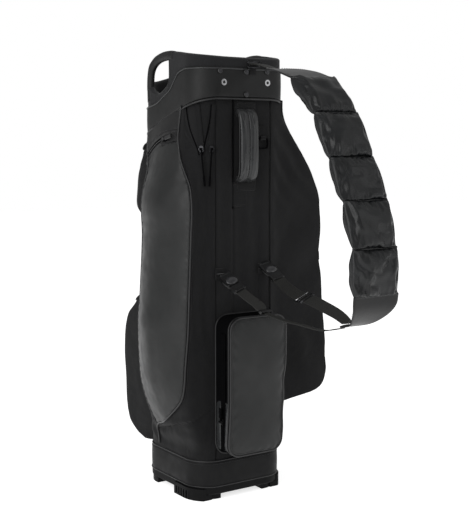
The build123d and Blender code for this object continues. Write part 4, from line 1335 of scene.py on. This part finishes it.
def patch(name, x, z, wide, tall, y, material, lift=1.0, corner=3.5, folds=0.25):
    # Small sewn panel on the spine, its edges turned under and stitched round.
    rows, count = [], 60
    inmost = -min(wide, tall) / 2
    for grow, rise in (
        (0, -0.4), (-0.4, lift * 0.6), (-1.4, lift), (-3.6, lift * 0.9), (-4.4, lift * 0.72), (-6, lift),
        (inmost * 0.7, lift), (inmost, lift)
    ):
        half, up = wide / 2 + grow, tall / 2 + grow
        r = max(min(corner + grow, half, up), 0)
        row = []
        for i in range(count):
            p = outlineAt(half, up, r, outlineLength(half, up, r) * i / count)[0]
            row.append(
                Vector((x + p.x, y - rise - folds * wobble((p.x + x, 0, p.y + z), 9, 4) * (rise > 0), z + p.y))
            )
        rows.append(row)
    piece = grid(name, rows, material, wrapColumns=True, caps=False, thick=0.8)
    half, up = wide / 2 - 3.9, tall / 2 - 3.9
    line = [outlineAt(half, up, 1.5, outlineLength(half, up, 1.5) * i / 80)[0] for i in range(81)]
    stitches(
        f"{name}Stitches", [(x + p.x, y - lift * 0.85, z + p.y) for p in line], [(0, -1, 0)], finish["thread"],
        pitch=3.6, length=2.5, radius=0.36
    )
    return piece


upperPlate = patch("handleUpperPatch", 5, 800, 48, 30, -112.4, finish["rib"], 2.0)
patch("handleLowerPatch", 5, 650, 48, 30, -112.4, finish["rib"], 2.0)
patch("handleBacking", -9, 628, 40, 50, -111.6, finish["rib"], 1.0)
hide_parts("handle_plates")
print("lift handle ready")

# Shoulder strap.
strap = {
    "half": 52, "seams": [(-335, 850), (-403, 785), (-447, 706), (-486, 632), (-513, 550), (-518, 468)],
}
for n, (a, b) in enumerate(zip(strap["seams"], strap["seams"][1:])):
    start, end = Vector((0, *a)), Vector((0, *b))
    ahead = (end - start).normalized()
    out = Vector((0, -ahead.z, ahead.y))
    if out.y > 0:
        out = -out

    def padShape(s, t, side, n=n):
        # Outer face narrower than the inner one, with a lens-shaped side wall creased along its edge.
        # It puckers at the seams.
        bow, inset = math.sin(math.pi * s), min(t, 1 - t) * 2 * strap["half"]
        pucker = 1 + 0.2 * math.exp(-min(s, 1 - s) / 0.07) * math.sin(t * 55 + 3 * wobble((t * 9, n, side), 1.5, 5))
        if side > 0:
            wall = 2 + 17 * bow**0.7
            crease = 0.3 * bow * bump(inset, 0.55 * wall, 0.16 * wall) * (0.6 + 0.5 * math.sin(s * 17 + n))
            return bow**0.36 * (min(1, inset / wall) ** 0.75 * pucker - crease)
        return 0.95 * bow**0.5 * math.sqrt(1 - (1 - min(1, inset / 7)) ** 2) * pucker

    def padPlace(s, t, lift, start=start, end=end, out=out, n=n):
        bow = math.sin(math.pi * s)
        x = (t - 0.5) * 2 * (strap["half"] + 1.5 * bow - 1.0)
        return start.lerp(end, 1.012 * s - 0.006) + Vector((x, 0, 0)) + out * (lift + 1.2 * bow)

    pad = pillow(f"strapPad{n + 1}", 34, 48, padPlace, "strap", 14.0, (2.2, 3.0), finish["strap"], 11 + n, padShape)
    if n == 0:
        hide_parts("strap_pads")
for n, (y, z) in enumerate(strap["seams"]):
    line = [Vector((x, y, z)) for x in steps(-50, 50, 30)]
    piping(f"strapSeam{n + 1}", line, 2.5, finish["strap"], "strap", up=(0, 1, 0.3))


def ribbonRows(path, widths, bend=0.0, lean=((0, 0), (1, 0))):
    # Rows for a strip along (x, y, z) places; widths gives its width along it, bend its crosswise crown, lean its roll.
    points = curveThrough(path, 10)
    rows = []
    for i, p in enumerate(points):
        ahead = (points[min(i + 1, len(points) - 1)] - points[max(i - 1, 0)]).normalized()
        across = Vector((1, 0, valueAlong(lean, i / (len(points) - 1))))
        across = (across - ahead * ahead.dot(across)).normalized()
        out = across.cross(ahead)
        wide = valueAlong(widths, i / (len(points) - 1))
        rows.append(
            [
                p + across * (wide * f) + out * (bend * (1 - (2 * f) ** 2))
                for f in (-0.5, -0.46, -0.3, -0.1, 0.1, 0.3, 0.46, 0.5)
            ]
        )
    return rows


def strapStrip(name, path, widths, material, thick=1.8, bend=0.0, body="strap", lean=((0, 0), (1, 0))):
    piece = grid(name, ribbonRows(path, widths, bend, lean), material, body, thick=thick, subdiv=1)
    piece.modifiers["cloth thickness"].offset = 0
    return piece


upperLeaf = strapStrip(
    "strapUpperLeaf", [(0, -214, 873), (0, -245, 871.5), (0, -290, 863.5), (0, -336, 849.5)],
    [(0, 26), (0.12, 40), (0.4, 92), (0.55, 103), (1, 104)], finish["strap"], 3.6, 1.6,
)
# The lower leaf takes the darker copy of the strap cloth: painted shade on its downward face.
strapStrip(
    "strapLowerLeaf", [(0, -518.3, 469), (0, -514, 446), (0, -499, 427), (0, -476, 412), (0, -435, 402)],
    [(0, 104), (0.2, 101), (0.5, 78), (0.85, 38), (1, 26)], finish["leaf"], 3.6, 2.0,
)
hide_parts("strap_leaves")
for name, path, widths, out in (
    (
        "strapUpperStitches", [(0, -226, 874.6), (0, -262, 870.8), (0, -330, 853.8)], [(0, 30), (0.35, 84), (1, 96)],
        (0, 0.1, 1)
    ),
    (
        "strapLowerStitches", [(0, -516, 452), (0, -500, 430.5), (0, -478, 415.5), (0, -446, 406)],
        [(0, 96), (0.3, 92), (0.6, 70), (1, 26)], (0, -0.6, 0.7)
    ),
):
    rows = ribbonRows(path, widths)
    for label, column, shift in (("Left", 0, 3), ("Right", -1, -3)):
        stitches(
            f"{name}{label}", [row[column] + Vector((shift, 0, 0)) for row in rows], [out], finish["thread"], "strap",
            pitch=4.4
        )
topWeb = strapStrip(
    "strapTopWebbing", [(13, -129, 888.5), (11, -140, 887), (6, -165, 885), (0, -216, 873.8)], [(0, 25), (1, 25)],
    finish["web"]
)
strapStrip(
    "strapBuckleWebbing",
    [
        (-34, -205, 420), (-29, -222, 408), (-26, -240, 400), (-24, -290, 394.5), (-21, -330, 393), (-15, -390, 390),
        (-9, -437, 400)
    ],
    [(0, 23), (0.12, 23), (0.2, 12), (0.84, 12), (0.95, 20), (1, 20)], finish["web"],
    lean=((0, 0.3), (0.2, 0.3), (0.8, 0), (1, 0)),
)
slidePath = [
    (57.5, -151, 458.5), (55, -172, 449), (47, -205, 441), (32, -258, 434.5), (22, -310, 433), (12, -377, 424),
    (8, -411, 417), (4, -438, 407.5)
]
slideLean = ((0, 0.3), (0.3, 0.45), (0.7, 0.5), (1, 0.05))
slideRows = ribbonRows(slidePath, [(0, 26), (1, 26)], 0.0, slideLean)
strapStrip(
    "strapSlideWebbing", slidePath, [(0, 26), (0.9, 26), (1, 24)], finish["web"], lean=slideLean,
)
buckleTail = strapStrip(
    "buckleTailWebbing", [(-47.8, -171, 441), (-44, -183, 433.5), (-39, -195, 426), (-33.6, -206, 419.4)],
    [(0, 23), (1, 23)], finish["web"], body=None, lean=((0, 0.3), (1, 0.3))
)
slideTail = strapStrip(
    "slideTailWebbing", [(55.5, -140, 465), (56.8, -147, 461), (57.6, -152.5, 457.8)], [(0, 24), (1, 26)],
    finish["web"], body=None, lean=((0, 0.3), (1, 0.3))
)
topTail = strapStrip(
    "ringTailWebbing", [(13, -126, 889.3), (12.6, -131.5, 889.6), (12, -137, 888.4)], [(0, 25), (1, 25)],
    finish["web"], body=None
)
for tail, start, end in (
    (buckleTail, (-47, -173, 440), (-35, -203, 421)), (slideTail, (56, -142, 464), (57.5, -152, 458)),
    (topTail, (13, -127, 889), (12, -136, 888)),
):
    metres(start)
    metres(end)
    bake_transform(tail)


def loopRound(name, place, across, along, half, thick, width, material, body):
    # Flat ring round a strip: across and along are its directions there, half its inner half-width.
    across, along = Vector(across).normalized(), Vector(along).normalized()
    out = across.cross(along).normalized()
    corners = ((-half, -thick), (half, -thick), (half + 1.2, 0), (half, thick), (-half, thick), (-half - 1.2, 0))
    line = [across * x + out * y for x, y in corners]
    path = [Vector(place) + p for p in curveThrough(line + [line[0]], 5)][:-1]
    rows = []
    for p in path:
        away = (p - Vector(place)).normalized()
        rows.append(
            [
                p + along * (width * f) + away * lift
                for f, lift in ((-0.5, 0), (-0.46, 0.8), (0, 1.1), (0.46, 0.8), (0.5, 0), (0.4, -0.3), (-0.4, -0.3))
            ]
        )
    return grid(name, rows, material, body, wrapRows=True, wrapColumns=True)


loopRound("webbingKeeper", (-28, -228, 404.6), (1, 0.1, 0), (0.2, -0.85, -0.5), 12, 2.2, 9, finish["buckle"], "strap")
# The ring under the top webbing and the slide on the right webbing.
corners = [(-15, -7), (15, -7), (15, 7), (-15, 7)]
ringPath = [
    Vector((13 + x + dx, -128.5, 887 + z + dz)) for x, z in corners
    for dx, dz in ((-math.copysign(2, x), math.copysign(0.6, z)), (math.copysign(0.6, x), -math.copysign(2, z)))
]
ringPath = [ringPath[k] for k in (0, 1, 3, 2, 4, 5, 7, 6)]
topRing = piping("strapTopRing", ringPath, 1.7, finish["dark"], "strap", up=(0, -1, 0), closed=True)
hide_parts("strap_rings")
k = min(range(1, len(slideRows) - 1), key=lambda i: abs(slideRows[i][3].y + 283))
slideAt = (slideRows[k][3] + slideRows[k][4]) / 2
slideX = (slideRows[k][-1] - slideRows[k][0]).normalized()
slideY = (slideRows[k - 1][3] - slideRows[k + 1][3]).normalized()
slideOut = slideX.cross(slideY)
for n, (y, tone, fat) in enumerate(((-12, "dark", 1.6), (0, "dark", 1.3), (11.5, "bright", 1.5))):
    rail = [slideAt + slideX * x + slideY * y + slideOut * 1.6 for x in (-15.5, -8, 0, 8, 15.5)]
    bar(f"slideBar{n + 1}", rail, ringSection(fat, 1.5, 12), slideOut, finish[tone], "strap")
for n, x in enumerate((-15, 15)):
    rail = [slideAt + slideX * x + slideY * y + slideOut * 0.6 for y in (-13, -6, 0, 6, 13)]
    bar(f"slideSide{n + 1}", rail, ringSection(1.6, 1.8, 12), slideOut, finish["dark"], "strap")
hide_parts("strap_webbing")

# Buckles: an oval push button, side arms and webbing bars, in the buckle's own directions.
def dressBuckle(name, at, across, face, plate):
    at, face = Vector(at), Vector(face).normalized()
    across = Vector(across)
    across = (across - face * across.dot(face)).normalized()
    along = face.cross(across)

    def spot(x, y, z):
        return at + across * x + along * y + face * z

    button = [
        [spot(radius * 1.36 * math.cos(a), 5 + radius * math.sin(a), high) for a in turn(40)]
        for radius, high in ((9.6, 4.2), (9.9, 5.4), (9.1, 6.5), (7.4, 7.1), (5.2, 7.0), (3.0, 6.8), (0.01, 6.7))
    ]
    # The button is in the lighter acetal: painted highlight.
    grid(f"{name}Button", button, finish["gloss"], wrapColumns=True)
    for side, sign in (("Left", -1), ("Right", 1)):
        arm = [spot(sign * x, y, 0) for x, y in ((9, -10), (13, -5), (15.4, 3), (15.8, 11), (14, 18))]
        bar(f"{name}Arm{side}", arm, ringSection(2.0, 2.6, 12, 3.0), across, finish["buckle"])
    for n, y in enumerate((-21.5, 26.5)):
        ridge = [spot(x, y, 3.6) for x in (-12.5, -6, 0, 6, 12.5)]
        bar(f"{name}Bar{n + 1}", ridge, ringSection(2.2, 1.8, 12), face, finish["buckle"])
    if plate:
        slab = [spot(0, y, 0) for y in (-22, -21, -10, 5, 20, 28, 29)]
        bar(f"{name}Plate", slab, ringSection(14.5, 4.3, 28, 6.0), face, finish["buckle"])


dressBuckle("leftBuckle", (-53, -152.4, 453.5), (0.95, 0.07, 0.29), (-0.2, -0.58, 0.79), False)
dressBuckle("rightBuckle", (54.5, -137.5, 467.5), (0.97, 0.05, 0.2), (-0.16, -0.56, 0.81), True)
for n, (x, z) in enumerate([(-63, 873.5), (0, 873), (51, 875), (0, 828.5)]):
    front = collar["b"] + 1.2
    cap = [
        [Vector((x + radius * math.cos(a), -front - out, z + radius * math.sin(a))) for a in turn(24)]
        for radius, out in ((5.3, -0.6), (5.5, 0.6), (5.0, 1.6), (3.4, 2.4), (1.6, 2.7), (0.01, 2.8))
    ]
    grid(f"studCap{n + 1}", cap, finish["stud"], wrapColumns=True)
print("shoulder strap ready")

# Materials for the solids that stay.
kept = {
    "base": ("base_tray", "base_feet"), "mat": ("base_mat",), "bright": ("base_screws",),
    "lining": ("body_liner", "divider_sleeves"),
    "stay": ("stay_rods",), "divider": ("divider_bars",), "rib": ("ring_tab", "strap_anchors"),
    # The accessory ring, half hidden behind the lift handle, takes the near-black cloth: painted shade.
    "buckle": ("buckle_socket", "buckle_plug"), "deep": ("accessory_ring",),
}


def dressSolid(node, key):
    node.data.materials.clear()
    node.data.materials.append(finish[key])


for key, names in kept.items():
    for name in names:
        dressSolid(frame["nodes"][name], key)
for name, node in frame["nodes"].items():
    for ending, key in (
        ("_zip", "tape"), ("_slider", "dark"), ("_pull", "pull"), ("_eyelets", "bright"), ("snap_studs", "dark")
    ):
        if name.endswith(ending):
            # Pulls in the vent, and the spine pocket's tape, pull and slider, take near-black finishes: painted shade
            # where they sit in shadow.
            if "vent" in name:
                key = {"tape": "gusset", "pull": "deep"}.get(key, key)
            elif "spine_pocket" in name:
                key = {"tape": "deep", "pull": "deep", "dark": "buckle"}.get(key, key)
            dressSolid(node, key)
print("kept solids dressed")
